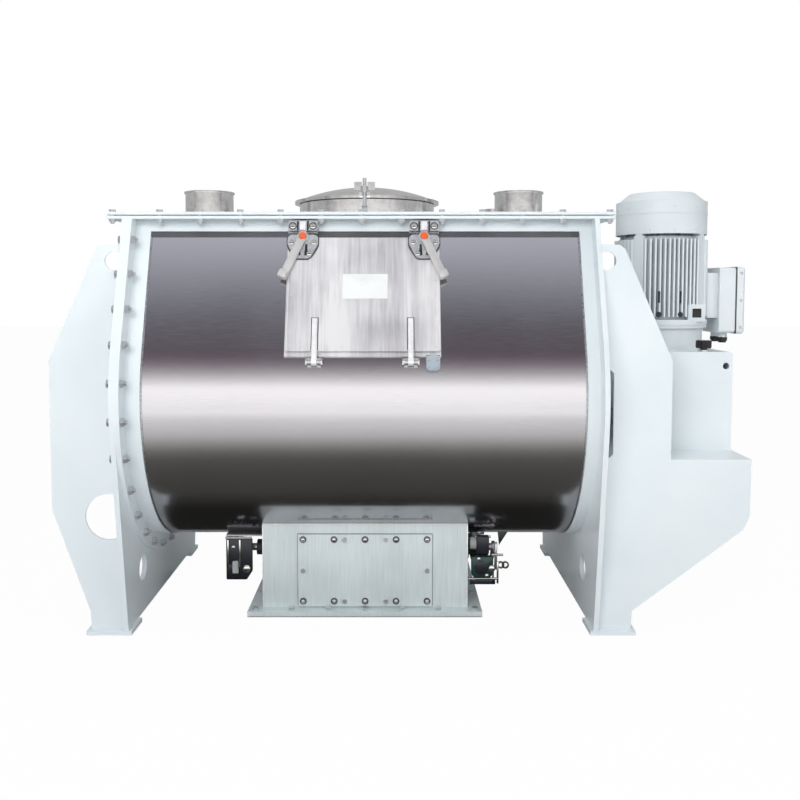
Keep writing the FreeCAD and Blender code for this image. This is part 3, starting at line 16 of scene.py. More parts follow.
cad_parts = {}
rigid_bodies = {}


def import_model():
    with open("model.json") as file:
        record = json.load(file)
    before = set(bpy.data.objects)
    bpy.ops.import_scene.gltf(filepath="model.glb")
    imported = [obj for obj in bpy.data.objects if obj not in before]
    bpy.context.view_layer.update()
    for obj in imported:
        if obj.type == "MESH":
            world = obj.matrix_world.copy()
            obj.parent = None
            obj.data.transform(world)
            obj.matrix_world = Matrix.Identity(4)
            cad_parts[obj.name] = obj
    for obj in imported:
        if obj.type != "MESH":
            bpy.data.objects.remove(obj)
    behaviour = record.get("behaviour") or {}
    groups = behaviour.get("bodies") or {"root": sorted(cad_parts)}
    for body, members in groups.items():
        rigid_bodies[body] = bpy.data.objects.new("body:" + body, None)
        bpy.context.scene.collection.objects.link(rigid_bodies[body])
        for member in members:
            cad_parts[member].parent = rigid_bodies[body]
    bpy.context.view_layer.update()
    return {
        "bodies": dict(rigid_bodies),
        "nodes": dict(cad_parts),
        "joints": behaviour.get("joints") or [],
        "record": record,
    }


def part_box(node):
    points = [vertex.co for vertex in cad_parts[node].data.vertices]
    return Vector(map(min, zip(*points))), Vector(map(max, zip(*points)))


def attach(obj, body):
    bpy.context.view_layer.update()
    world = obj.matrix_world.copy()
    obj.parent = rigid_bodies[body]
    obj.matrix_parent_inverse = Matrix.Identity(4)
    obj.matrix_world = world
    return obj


LOG = logging.getLogger("ribbon_blender")
Number = Union[float, "Value"]
Colour = tuple[float, float, float]
Outline = list[tuple[float, float]]


# ------------------------------------------------------------------ shader maths
class Value:
    """A shader socket that takes part in Python expressions."""

    def __init__(self, graph: "Graph", socket: bpy.types.NodeSocket) -> None:
        """Keep the socket and the graph that new nodes go to."""
        self.graph = graph
        self.socket = socket

    def _math(self, operation: str, first: Number, second: Number = 0.0) -> "Value":
        """Add one Math node and return its result."""
        return self.graph.node("ShaderNodeMath", {"operation": operation}, {0: first, 1: second})

    def __add__(self, other: Number) -> "Value":
        """Sum."""
        return self._math("ADD", self, other)

    __radd__ = __add__

    def __sub__(self, other: Number) -> "Value":
        """Difference."""
        return self._math("SUBTRACT", self, other)

    def __rsub__(self, other: Number) -> "Value":
        """Difference from a number."""
        return self._math("SUBTRACT", other, self)

    def __mul__(self, other: Number) -> "Value":
        """Product."""
        return self._math("MULTIPLY", self, other)

    __rmul__ = __mul__

    def abs(self) -> "Value":
        """Size without sign."""
        return self._math("ABSOLUTE", self)

    def wave(self) -> "Value":
        """Sine."""
        return self._math("SINE", self)

    def above(self, edge: float) -> "Value":
        """One where this is greater than an edge, otherwise nothing."""
        return self._math("GREATER_THAN", self, edge)


class Graph:
    """Node tree of one material or world."""

    def __init__(self, tree: bpy.types.NodeTree) -> None:
        """Start on an empty tree."""
        self.tree = tree
        tree.nodes.clear()

    def node(self, kind: str, settings: Optional[dict] = None, inputs: Optional[dict] = None,
             output: Union[int, str] = 0) -> Optional[Value]:
        """Add a node.

        Args:
            kind: the node's type.
            settings: attributes, set first; "stops" are a colour ramp's (place, colour) pairs.
            inputs: values or links of its sockets, by name or number.
            output: the socket to return.

        Returns:
            The chosen output, or nothing for a node that has none.
        """
        made = self.tree.nodes.new(kind)
        for key, value in (settings or {}).items():
            if key == "stops":
                ramp = made.color_ramp.elements
                while len(ramp) < len(value):
                    ramp.new(1.0)
                for stop, (place, colour) in zip(ramp, value):
                    stop.position = place
                    stop.color = (*colour, 1.0)
            else:
                setattr(made, key, value)
        for key, value in (inputs or {}).items():
            socket = made.inputs[key]
            if isinstance(value, Value):
                self.tree.links.new(value.socket, socket)
            elif isinstance(value, tuple) and len(value) == 3 and socket.type == "RGBA":
                socket.default_value = (*value, 1.0)
            else:
                socket.default_value = value
        return Value(self, made.outputs[output]) if made.outputs else None

    def place(self) -> Value:
        """Object coordinates."""
        return self.node("ShaderNodeTexCoord", output="Object")

    def axes(self) -> tuple[Value, Value, Value]:
        """Object coordinates as three numbers."""
        split = self.node("ShaderNodeSeparateXYZ", inputs={0: self.place()})
        outputs = split.socket.node.outputs
        return tuple(Value(self, outputs[index]) for index in range(3))

    def noise(self, scale: float, stretch: Colour = (1.0, 1.0, 1.0), detail: float = 3.0) -> Value:
        """Noise between 0 and 1, stretched along the axes."""
        mapped = self.node("ShaderNodeMapping", inputs={"Vector": self.place(), "Scale": stretch})
        return self.node("ShaderNodeTexNoise", inputs={"Vector": mapped, "Scale": scale,
                                                       "Detail": detail})

    def span(self, value: Value, low: float, high: float, start: float, end: float) -> Value:
        """Map a value from one range to another, held at its ends."""
        return self.node("ShaderNodeMapRange", {"clamp": True},
                         {0: value, 1: low, 2: high, 3: start, 4: end})

    def mix(self, factor: Number, first: Union[Colour, Value], second: Union[Colour, Value]) -> Value:
        """Blend two colours."""
        return self.node("ShaderNodeMix", {"data_type": "RGBA"}, {0: factor, 6: first, 7: second},
                         output=2)

    def bump(self, height: Value, strength: float, distance: float) -> Value:
        """Normal from a height."""
        return self.node("ShaderNodeBump", inputs={"Height": height, "Strength": strength,
                                                   "Distance": distance})


@dataclass(frozen=True)
class Finish:
    """A surface finish; kinds of finish fill in the shader."""

    name: str

    def sockets(self, graph: Graph) -> dict:
        """Sockets of the main shader."""
        raise NotImplementedError

    def material(self) -> bpy.types.Material:
        """Build the material once and return it after that."""
        known = bpy.data.materials.get(self.name)
        if known:
            return known
        material = bpy.data.materials.new(self.name)
        material.use_nodes = True
        graph = Graph(material.node_tree)
        shader = graph.node("ShaderNodeBsdfPrincipled", inputs=self.sockets(graph))
        graph.node("ShaderNodeOutputMaterial", inputs={"Surface": shader})
        return material


class Grain(Enum):
    """Direction in which a metal surface was brushed, as stretch factors for noise."""

    ALONG = (1.0, 60.0, 60.0)
    UPRIGHT = (60.0, 60.0, 1.0)
    NONE = (1.0, 1.0, 1.0)


@dataclass(frozen=True)
class Metal(Finish):
    """Bare metal with grain, faint stains and scratches."""

    light: Colour = (0.74, 0.74, 0.75)
    dark: Colour = (0.60, 0.60, 0.61)
    grain: Grain = Grain.NONE
    scale: float = 30.0
    smooth: float = 0.16
    rough: float = 0.30
    relief: float = 0.10
    blotch: float = 5.0
    metallic: float = 1.0

    def sockets(self, graph: Graph) -> dict:
        """Grain drives colour, roughness and a fine relief."""
        streaks = graph.noise(self.scale, self.grain.value, 6.0)
        stains = graph.noise(self.blotch, detail=4.0)
        wear = graph.span(streaks * 0.65 + stains * 0.35, 0.38, 0.62, 0.0, 1.0)
        return {
            "Base Color": graph.mix(wear, self.dark, self.light),
            "Metallic": self.metallic,
            "Roughness": graph.span(streaks * 0.5 + stains * 0.5, 0.35, 0.65, self.smooth, self.rough),
            "Normal": graph.bump(streaks, self.relief, 0.0004),
        }


@dataclass(frozen=True)
class Brushed(Metal):
    """Sheet metal with broad upright brush marks and a faint grid of spot marks."""

    pitch: float = 0.0105

    def sockets(self, graph: Graph) -> dict:
        """Broad and fine brush marks, darker clouds and spot marks."""
        broad = graph.noise(14.0, (1.0, 0.1, 0.03), 3.0)
        fine = graph.noise(160.0, (1.0, 0.1, 0.03), 3.0)
        clouds = graph.noise(6.0, detail=5.0)
        along, _, up = graph.axes()
        turn = 2 * math.pi / self.pitch
        spots = ((along * turn).wave() * (up * turn).wave()).above(0.72)
        wear = graph.span(broad * 0.5 + fine * 0.2 + clouds * 0.3, 0.38, 0.60, 0.0, 1.0)
        return {
            "Base Color": graph.mix(spots * 0.22, graph.mix(wear, self.dark, self.light),
                                    (0.30, 0.30, 0.31)),
            "Metallic": self.metallic,
            "Roughness": graph.span(fine, 0.35, 0.65, self.smooth, self.rough),
            "Normal": graph.bump(fine - spots * 0.3, self.relief, 0.0003),
        }


@dataclass(frozen=True)
class Enamel(Finish):
    """Sprayed paint with a slight orange peel and a faint tint of dust."""

    colour: Colour = (0.80, 0.86, 0.88)
    shade: Colour = (0.74, 0.81, 0.84)
    gloss: float = 0.28
    peel: float = 260.0
    relief: float = 0.06

    def sockets(self, graph: Graph) -> dict:
        """Soft clouds of tint over a fine peel."""
        clouds = graph.noise(2.5, detail=5.0)
        peel = graph.noise(self.peel, detail=2.0)
        return {
            "Base Color": graph.mix(graph.span(clouds, 0.35, 0.65, 0.0, 1.0), self.shade, self.colour),
            "Roughness": graph.span(clouds, 0.3, 0.7, self.gloss, self.gloss + 0.12),
            "Coat Weight": 0.25,
            "Coat Roughness": 0.12,
            "Normal": graph.bump(peel, self.relief, 0.0005),
        }


@dataclass(frozen=True)
class Moulded(Finish):
    """Plastic or rubber with a fine moulded texture."""

    colour: Colour = (0.03, 0.03, 0.03)
    worn: Colour = (0.07, 0.07, 0.07)
    gloss: float = 0.45
    scale: float = 180.0

    def sockets(self, graph: Graph) -> dict:
        """Fine texture with paler rubbed spots."""
        texture = graph.noise(self.scale, detail=3.0)
        rubbed = graph.noise(14.0, detail=4.0)
        return {
            "Base Color": graph.mix(graph.span(rubbed, 0.5, 0.7, 0.0, 1.0), self.colour, self.worn),
            "Roughness": graph.span(rubbed, 0.3, 0.7, self.gloss, self.gloss + 0.2),
            "Normal": graph.bump(texture, 0.15, 0.0006),
        }


POLISHED = Metal("polished_drum", (0.62, 0.60, 0.62), (0.56, 0.54, 0.56), Grain.ALONG, 18.0,
                 0.10, 0.20, 0.03, 1.5)
DOOR_STEEL = Brushed("door_steel", (0.80, 0.79, 0.80), (0.42, 0.41, 0.43), smooth=0.30, rough=0.46,
                     relief=0.12, metallic=0.35)
# Dark steel for seams and washers; also dark sheet painted as shadow under the top frame and beside the
# hinge straps.
DARK_STEEL_AND_SHADE = Metal("dark_steel_and_painted_shade", (0.16, 0.16, 0.165), (0.09, 0.09, 0.095), Grain.ALONG, 30.0,
                   0.34, 0.5, metallic=0.5)
# Near-white and mostly non-metallic: painted highlight for the lit edges of straps, hems, ribs and
# folded edges.
EDGE_HIGHLIGHT_STEEL = Metal("painted_edge_highlight", (0.97, 0.97, 0.97), (0.86, 0.86, 0.87), Grain.NONE, 60.0,
                  0.15, 0.25, metallic=0.25)
LATCH_STEEL = Metal("latch_steel", (0.70, 0.69, 0.68), (0.52, 0.51, 0.50), Grain.UPRIGHT, 14.0,
                    0.24, 0.38, metallic=0.4)
SATIN = Metal("satin_steel", (0.78, 0.78, 0.79), (0.56, 0.56, 0.57), Grain.NONE, 60.0, 0.18, 0.34,
              metallic=0.8)
CHUTE_STEEL = Metal("chute_steel", (0.74, 0.81, 0.82), (0.62, 0.69, 0.70), Grain.UPRIGHT, 8.0,
                    0.34, 0.50, 0.05, metallic=0.3)
FLANGE_STEEL = Metal("flange_steel", (0.50, 0.48, 0.46), (0.34, 0.32, 0.31), Grain.ALONG, 20.0,
                     0.30, 0.48)
ZINC = Metal("zinc", (0.70, 0.72, 0.72), (0.44, 0.46, 0.47), Grain.NONE, 90.0, 0.26, 0.45, 0.15)
BRIGHT = Metal("bright_steel", (0.86, 0.85, 0.84), (0.70, 0.69, 0.68), Grain.NONE, 40.0, 0.08, 0.18)
WHITE = Enamel("white_enamel")
MOTOR_WHITE = Enamel("motor_enamel", (0.78, 0.83, 0.85), (0.70, 0.76, 0.79), 0.34, 180.0, 0.10)
CAST_WHITE = Enamel("cast_enamel", (0.76, 0.81, 0.83), (0.66, 0.72, 0.75), 0.40, 90.0, 0.30)
GREEN = Enamel("green_enamel", (0.010, 0.045, 0.036), (0.006, 0.026, 0.022), 0.25)
RUBBER = Moulded("rubber", (0.018, 0.018, 0.018), (0.04, 0.04, 0.04), 0.5)
# Black plastic; also black slabs painted as shade in holes, pockets and grooves.
BLACK = Moulded("black_plastic_and_painted_shade", (0.012, 0.012, 0.013), (0.03, 0.03, 0.03), 0.35)
ORANGE = Moulded("orange_cap", (0.95, 0.11, 0.012), (0.80, 0.13, 0.03), 0.30)
SENSOR = Moulded("sensor_plastic", (0.36, 0.42, 0.47), (0.46, 0.52, 0.56), 0.42)
GASKET = Moulded("pale_gasket", (0.62, 0.65, 0.66), (0.54, 0.57, 0.58), 0.5)
NAVY = Enamel("dark_housing", (0.010, 0.013, 0.022), (0.006, 0.008, 0.014), 0.30, 200.0, 0.10)
GREYBLOCK = Moulded("grey_plastic", (0.30, 0.31, 0.31), (0.40, 0.41, 0.41), 0.45)
LABEL = Moulded("blank_label", (0.82, 0.84, 0.83), (0.74, 0.76, 0.75), 0.32, 400.0)
WELD = Metal("weld_bead", (0.72, 0.74, 0.75), (0.42, 0.42, 0.44), Grain.NONE, 120.0, 0.25, 0.42, 0.5)


# ------------------------------------------------------------------ pieces
class Workshop:
    """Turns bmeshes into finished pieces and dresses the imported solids."""

    def __init__(self, frame: dict) -> None:
        """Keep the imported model.

        Args:
            frame: what the frame loader returned.
        """
        self.nodes = frame["nodes"]

    def dress(self, finish: Finish, *names: str) -> None:
        """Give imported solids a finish."""
        for name in names:
            slots = self.nodes[name].data.materials
            slots.clear()
            slots.append(finish.material())
            LOG.info("dressed %s with %s", name, finish.name)

    def piece(self, name: str, mesh: bmesh.types.BMesh, finish: Finish, body: str,
              smooth: bool = True) -> bpy.types.Object:
        """Make a piece from a bmesh.

        Args:
            name: the piece's name.
            mesh: its shape, in place; it is freed.
            finish: its surface.
            body: the body that it rides on.
            smooth: shade rounded faces smoothly.

        Returns:
            The new object.
        """
        bmesh.ops.remove_doubles(mesh, verts=mesh.verts, dist=1e-6)
        bmesh.ops.recalc_face_normals(mesh, faces=mesh.faces)
        data = bpy.data.meshes.new(name)
        mesh.to_mesh(data)
        mesh.free()
        if smooth:
            data.shade_smooth()
            data.set_sharp_from_angle(angle=math.radians(35))
        thing = bpy.data.objects.new(name, data)
        bpy.context.scene.collection.objects.link(thing)
        data.materials.append(finish.material())
        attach(thing, body)
        LOG.info("built %s", name)
        return thing


# ------------------------------------------------------------------ shapes
class Facing(Enum):
    """Which way a flat shape is extruded, as rows of local X, local Y and outward direction."""

    FRONT = ((1, 0, 0), (0, 0, 1), (0, -1, 0))
    RIGHT = ((0, 1, 0), (0, 0, 1), (1, 0, 0))

    def matrix(self) -> Matrix:
        """Turn that carries local axes to this facing."""
        return Matrix(self.value).transposed().to_4x4()


OUT = (0, -1, 0)
UP = (0, 0, 1)
ALONG = (1, 0, 0)


def rectangle(x0: float, x1: float, y0: float, y1: float) -> Outline:
    """Corners of a rectangle."""
    return [(x0, y0), (x1, y0), (x1, y1), (x0, y1)]


def dome(radius: float, height: float) -> Outline:
    """Profile of a round screw head, as (radius, height) points."""
    return [(0.0, 0.0), (radius, 0.0), (radius, 0.25 * height), (0.85 * radius, 0.68 * height),
            (0.5 * radius, 0.93 * height), (0.0, height)]


def drum(radius: float, height: float, edge: float) -> Outline:
    """Profile of a disc with a rounded rim, as (radius, height) points."""
    return [(0.0, 0.0), (radius, 0.0), (radius, height - edge), (radius - 0.3 * edge,
                                                                 height - 0.3 * edge),
            (radius - edge, height), (0.0, height)]


def washer(inner: float, outer: float, height: float) -> Outline:
    """Closed profile of a flat ring, as (radius, height) points."""
    return [(inner, 0.0), (outer, 0.0), (outer, height), (inner, height), (inner, 0.0)]


class Shape:
    """A piece's mesh, grown part by part in one local frame."""

    def __init__(self, frame: Optional[Matrix] = None) -> None:
        """Start an empty mesh.

        Args:
            frame: where the local frame sits in the machine's.
        """
        self.frame = frame or Matrix.Identity(4)
        self.mesh = bmesh.new()

    def _keep(self, part: bmesh.types.BMesh, matrix: Matrix) -> "Shape":
        """Move a finished part into place and join it to the rest."""
        bmesh.ops.remove_doubles(part, verts=part.verts, dist=1e-6)
        bmesh.ops.recalc_face_normals(part, faces=part.faces)
        bmesh.ops.transform(part, matrix=self.frame @ matrix, verts=part.verts)
        data = bpy.data.meshes.new("part")
        part.to_mesh(data)
        part.free()
        self.mesh.from_mesh(data)
        bpy.data.meshes.remove(data)
        return self

    def turned(self, place: Colour, axis: Colour, profile: Outline,
               steps: int = 24) -> "Shape":
        """Add a turned part.

        Args:
            place: where its profile's foot sits.
            axis: the direction that it points.
            profile: (radius, height) points.
            steps: sides of its circle.

        Returns:
            This shape.
        """
        part = bmesh.new()
        corners = [part.verts.new((radius, 0.0, height)) for radius, height in profile]
        edges = [part.edges.new(pair) for pair in zip(corners, corners[1:])]
        bmesh.ops.spin(part, geom=corners + edges, cent=(0, 0, 0), axis=UP,
                       angle=2 * math.pi, steps=steps, use_merge=True)
        turn = Vector(axis).to_track_quat("Z", "Y").to_matrix().to_4x4()
        return self._keep(part, Matrix.Translation(place) @ turn)

    def slab(self, outline: Outline, place: Colour, depth: float, edge: float = 0.0006,
             facing: Facing = Facing.FRONT) -> "Shape":
        """Add an outline extruded outwards, with its edges broken.

        Args:
            outline: its corners.
            place: where the outline's origin sits.
            depth: how far it is extruded.
            edge: width of the broken edges.
            facing: which way it is extruded.

        Returns:
            This shape.
        """
        part = bmesh.new()
        face = part.faces.new([part.verts.new((x, y, 0.0)) for x, y in outline])
        grown = bmesh.ops.extrude_face_region(part, geom=[face])
        tops = [item for item in grown["geom"] if isinstance(item, bmesh.types.BMVert)]
        bmesh.ops.translate(part, vec=(0, 0, depth), verts=tops)
        bmesh.ops.recalc_face_normals(part, faces=part.faces)
        if edge:
            bmesh.ops.bevel(part, geom=list(part.edges), offset=edge, offset_type="OFFSET", segments=2,
                            profile=0.5, affect="EDGES", material=-1)
        return self._keep(part, Matrix.Translation(place) @ facing.matrix())

    def nut(self, place: Colour, axis: Colour, radius: float, height: float) -> "Shape":
        """Add a hexagon nut with a washer under it."""
        self.turned(place, axis, washer(radius * 0.5, radius * 1.25, height * 0.15))
        profile = [(0.0, 0.0), (radius * 0.98, 0.0), (radius, height * 0.85),
                   (radius * 0.8, height), (0.0, height)]
        return self.turned(place, axis, profile, steps=6)


# ------------------------------------------------------------------ studio
@dataclass(frozen=True)
class Card:
    """A glowing board that only polished metal reflects, shaded along one axis.

    Shades are (place in metres along the axis, brightness, tint) from one edge to the other.
    """

    name: str
    centre: Colour
    size: tuple[float, float]
    upright: bool
    shades: tuple[tuple[float, float, Colour], ...]
    gain: float = 1.65


BLUISH = (0.93, 0.98, 1.09)
PLUM = (1.06, 0.90, 1.04)
NEUTRAL = (1.0, 1.0, 1.0)
WARM = (1.03, 1.03, 0.95)


@dataclass
class Studio:
    """Floor, reflector cards, lamps and camera."""

    lens: float = 39.15
    camera_place: Colour = (-0.111, -4.070, 1.405)
    pitch: float = -3.5
    shift: tuple[float, float] = (0.010, -0.071)
    sky: float = 0.48
    cards: tuple[Card, ...] = (
        Card("card_wall", (0.0, -6.0, 4.0), (30.0, 8.0), True, (
            (0.0, 0.80, NEUTRAL), (0.4, 0.87, NEUTRAL), (1.5, 0.96, NEUTRAL), (2.1, 0.60, NEUTRAL),
            (2.75, 0.32, NEUTRAL), (3.4, 0.17, PLUM), (4.2, 0.09, PLUM), (5.2, 0.08, PLUM),
            (5.5, 0.13, BLUISH), (5.9, 0.23, BLUISH), (6.2, 0.32, BLUISH), (6.6, 0.45, BLUISH),
            (8.0, 0.55, BLUISH))),
        Card("card_floor", (0.0, -2.9, 0.004), (30.0, 6.2), False, (
            (-6.0, 0.80, NEUTRAL), (-4.9, 0.88, NEUTRAL), (-3.35, 0.61, NEUTRAL),
            (-2.55, 0.53, NEUTRAL), (-2.05, 0.43, NEUTRAL), (-1.7, 0.25, WARM), (-1.44, 0.12, WARM),
            (-1.23, 0.07, WARM), (-0.9, 0.05, WARM), (-0.65, 0.04, WARM), (-0.5, 0.02, WARM),
            (-0.4, 0.01, WARM), (0.2, 0.01, WARM))),
    )
    lamps: tuple[tuple[str, Colour, float, float], ...] = (
        ("lamp_front", (-1.6, -5.0, 3.6), 3.0, 140.0),
        ("lamp_right", (4.2, -3.6, 3.2), 2.5, 55.0),
        ("lamp_top", (0.0, -0.5, 5.0), 4.0, 40.0),
    )

    def build(self) -> None:
        """Set the whole studio up."""
        self.floor()
        for card in self.cards:
            self.reflector(card)
        self.world()
        for name, place, size, power in self.lamps:
            self.lamp(name, place, size, power)
        self.camera()

    def stage_sheet(self, name: str, centre: Colour, size: tuple[float, float],
                    upright: bool) -> tuple[bpy.types.Object, Graph]:
        """Make a flat sheet that isn't part of the machine.

        Args:
            name: its name, also its material's.
            centre: its middle.
            size: its width and its height or depth.
            upright: stands facing the machine, otherwise lies flat.

        Returns:
            The sheet and the empty graph of its material.
        """
        mesh = bmesh.new()
        bmesh.ops.create_grid(mesh, x_segments=1, y_segments=1, size=0.5)
        bmesh.ops.scale(mesh, vec=(size[0], size[1], 1.0), verts=mesh.verts)
        if upright:
            bmesh.ops.rotate(mesh, cent=(0, 0, 0), verts=mesh.verts,
                             matrix=Matrix.Rotation(math.radians(-90.0), 3, "X"))
        bmesh.ops.translate(mesh, vec=centre, verts=mesh.verts)
        data = bpy.data.meshes.new(name)
        mesh.to_mesh(data)
        mesh.free()
        sheet = bpy.data.objects.new(name, data)
        bpy.context.scene.collection.objects.link(sheet)
        material = bpy.data.materials.new(name)
        material.use_nodes = True
        data.materials.append(material)
        return sheet, Graph(material.node_tree)

    def floor(self) -> None:
        """White floor: plain white to the camera, pale grey to the object."""
        graph = self.stage_sheet("studio_floor", (0.0, 0.0, 0.0), (60.0, 60.0), False)[1]
        path = graph.node("ShaderNodeLightPath", output="Is Camera Ray")
        pale = graph.node("ShaderNodeBsdfDiffuse", inputs={"Color": (0.80, 0.80, 0.80)})
        white = graph.node("ShaderNodeEmission", inputs={"Color": (1.0, 1.0, 1.0), "Strength": 1.0})
        shader = graph.node("ShaderNodeMixShader", inputs={0: path * 0.97, 1: pale, 2: white})
        graph.node("ShaderNodeOutputMaterial", inputs={"Surface": shader})

    def reflector(self, card: Card) -> None:
        """Glowing card that only reflections see.

        Args:
            card: its place, size and shades.
        """
        sheet, graph = self.stage_sheet(card.name, card.centre, card.size, card.upright)
        along = graph.axes()[2 if card.upright else 1]
        low, high = card.shades[0][0], card.shades[-1][0]
        stops = [((place - low) / (high - low), tuple(bright * part for part in tint))
                 for place, bright, tint in card.shades]
        shade = graph.node("ShaderNodeValToRGB", {"stops": stops},
                           {0: graph.span(along, low, high, 0.0, 1.0)})
        glow = graph.node("ShaderNodeEmission", inputs={"Color": shade, "Strength": card.gain})
        graph.node("ShaderNodeOutputMaterial", inputs={"Surface": glow})
        sheet.visible_camera = False
        sheet.visible_diffuse = False
        sheet.visible_shadow = False
        sheet.visible_transmission = False

    def world(self) -> None:
        """Even white surroundings, plain white to the camera."""
        world = bpy.data.worlds.new("studio")
        bpy.context.scene.world = world
        world.use_nodes = True
        graph = Graph(world.node_tree)
        seen = graph.node("ShaderNodeLightPath", output="Is Camera Ray")
        light = graph.node("ShaderNodeBackground", inputs={"Color": (0.97, 0.98, 1.0),
                                                           "Strength": self.sky})
        plain = graph.node("ShaderNodeBackground", inputs={"Color": (1.0, 1.0, 1.0), "Strength": 1.0})
        both = graph.node("ShaderNodeMixShader", inputs={0: seen, 1: light, 2: plain})
        graph.node("ShaderNodeOutputWorld", inputs={"Surface": both})

    def lamp(self, name: str, place: Colour, size: float, power: float) -> None:
        """Broad soft lamp aimed at the machine, left out of its reflections.

        Args:
            name: the lamp's name.
            place: where it hangs.
            size: side of its square face.
            power: watts.
        """
        lamp = bpy.data.lights.new(name, "AREA")
        lamp.size = size
        lamp.energy = power
        thing = bpy.data.objects.new(name, lamp)
        bpy.context.scene.collection.objects.link(thing)
        thing.location = place
        aim = Vector((0.0, 0.0, 0.9)) - Vector(place)
        thing.rotation_euler = aim.to_track_quat("-Z", "Y").to_euler()
        thing.visible_glossy = False

    def camera(self) -> None:
        """Camera in front of the door, at chest height."""
        lens = bpy.data.cameras.new("camera")
        lens.lens = self.lens
        lens.sensor_width = 36.0
        lens.shift_x, lens.shift_y = self.shift
        lens.clip_end = 200.0
        camera = bpy.data.objects.new("camera", lens)
        bpy.context.scene.collection.objects.link(camera)
        camera.location = self.camera_place
        camera.rotation_euler = (math.radians(90.0 + self.pitch), 0.0, 0.0)
        bpy.context.scene.camera = camera
        bpy.context.scene.view_settings.view_transform = "Standard"


# ------------------------------------------------------------------ sub-assemblies
@dataclass(frozen=True)
class Wall:
    """Leaning side walls of the trough, tangent to its round bottom."""

    radius: float = 0.668
    height: float = 0.951
    lean: float = 19.5

    def front(self, along: float = 0.0) -> Matrix:
        """Local frame of the front wall: X along it, Z up it and -Y out of it."""
        lean = math.radians(self.lean)
        foot = (along, -self.radius * math.cos(lean), self.height + self.radius * math.sin(lean))
        return Matrix.Translation(foot) @ Matrix.Rotation(-lean, 4, "X")

    def rear(self) -> Matrix:
        """Local frame of the rear wall, X running the other way."""
        return Matrix.Rotation(math.pi, 4, "Z") @ self.front()


WALL = Wall()


@dataclass
class Trough:
    """Trough, end plates, top frame and lid."""

    # Height band and thickness of the dark strip painted as the top frame's shadow.
    strip_low: float = 0.475
    strip_high: float = 0.499
    strip_plate: float = 0.003
    clear: float = 0.002
    bead: float = 0.004

    def dress(self, shop: Workshop) -> None:
        """Finishes of the trough's solids."""
        shop.dress(POLISHED, "trough_shell")
        shop.dress(WHITE, "left_band", "right_band", "top_frame", "lid_plate", "left_end_plate",
                   "right_end_plate", "left_leg_panels", "right_leg_panels", "foot_plates")
        shop.dress(GASKET, "lid_gasket")
        shop.dress(ZINC, "lid_bolts", "left_flange_bolts")

    def build(self, shop: Workshop) -> None:
        """Dark strips under the top frame, a painted shadow of the frame, and weld beads at the shell's
        ends.
        """
        low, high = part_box("trough_shell")
        # Dark strips along both walls just under the top frame: painted shadow cast by the frame on the
        # shell.
        strips = Shape()
        for side, frame in enumerate((WALL.front(), WALL.rear())):
            strips.frame = frame
            ends = (low.x + self.clear, high.x - self.clear)
            x0, x1 = ends if side == 0 else (-ends[1], -ends[0])
            strips.slab(rectangle(x0, x1, self.strip_low, self.strip_high), (0.0, 0.0, 0.0),
                        self.strip_plate)
        shop.piece("frame_shadow_strips", strips.mesh, DARK_STEEL_AND_SHADE, "root")
        beads = bmesh.new()
        for x in (low.x + self.bead, high.x - self.bead):
            self.seam(beads, x)
        shop.piece("shell_welds", beads, WELD, "root")

    def seam(self, mesh: bmesh.types.BMesh, x: float) -> None:
        """Weld bead round the shell at one of its ends.

        Args:
            mesh: the mesh that it goes to.
            x: its place along the machine.
        """
        lean = math.radians(WALL.lean)
        start = Vector((x, -WALL.radius * math.cos(lean), WALL.height + WALL.radius * math.sin(lean)))
        ring = bmesh.ops.create_circle(mesh, segments=8, radius=self.bead)
        turn = Matrix.Translation(start) @ Matrix.Rotation(-lean, 4, "X")
        bmesh.ops.transform(mesh, matrix=turn, verts=ring["verts"])
        edges = list({edge for vert in ring["verts"] for edge in vert.link_edges})
        wall = bmesh.ops.extrude_edge_only(mesh, edges=edges)
        rise = self.strip_low
        tops = [item for item in wall["geom"] if isinstance(item, bmesh.types.BMVert)]
        bmesh.ops.translate(mesh, verts=tops, vec=(0, rise * math.sin(lean), rise * math.cos(lean)))
        swept = bmesh.ops.spin(mesh, geom=ring["verts"] + edges, cent=(x, 0, WALL.height),
                               axis=(1, 0, 0), angle=math.pi + 2 * lean, steps=96)
        last = [item for item in swept["geom_last"] if isinstance(item, bmesh.types.BMEdge)]
        wall = bmesh.ops.extrude_edge_only(mesh, edges=last)
        tops = [item for item in wall["geom"] if isinstance(item, bmesh.types.BMVert)]
        bmesh.ops.translate(mesh, verts=tops, vec=(0, -rise * math.sin(lean), rise * math.cos(lean)))


@dataclass
class Agitator:
    """Shaft, ribbons, arms, bearings and seals."""

    def dress(self, shop: Workshop) -> None:
        """Finishes of the agitator's solids."""
        shop.dress(SATIN, "main_shaft", "outer_ribbons", "inner_ribbons", "ribbon_arms", "shaft_seals")
        shop.dress(CAST_WHITE, "shaft_bearings")


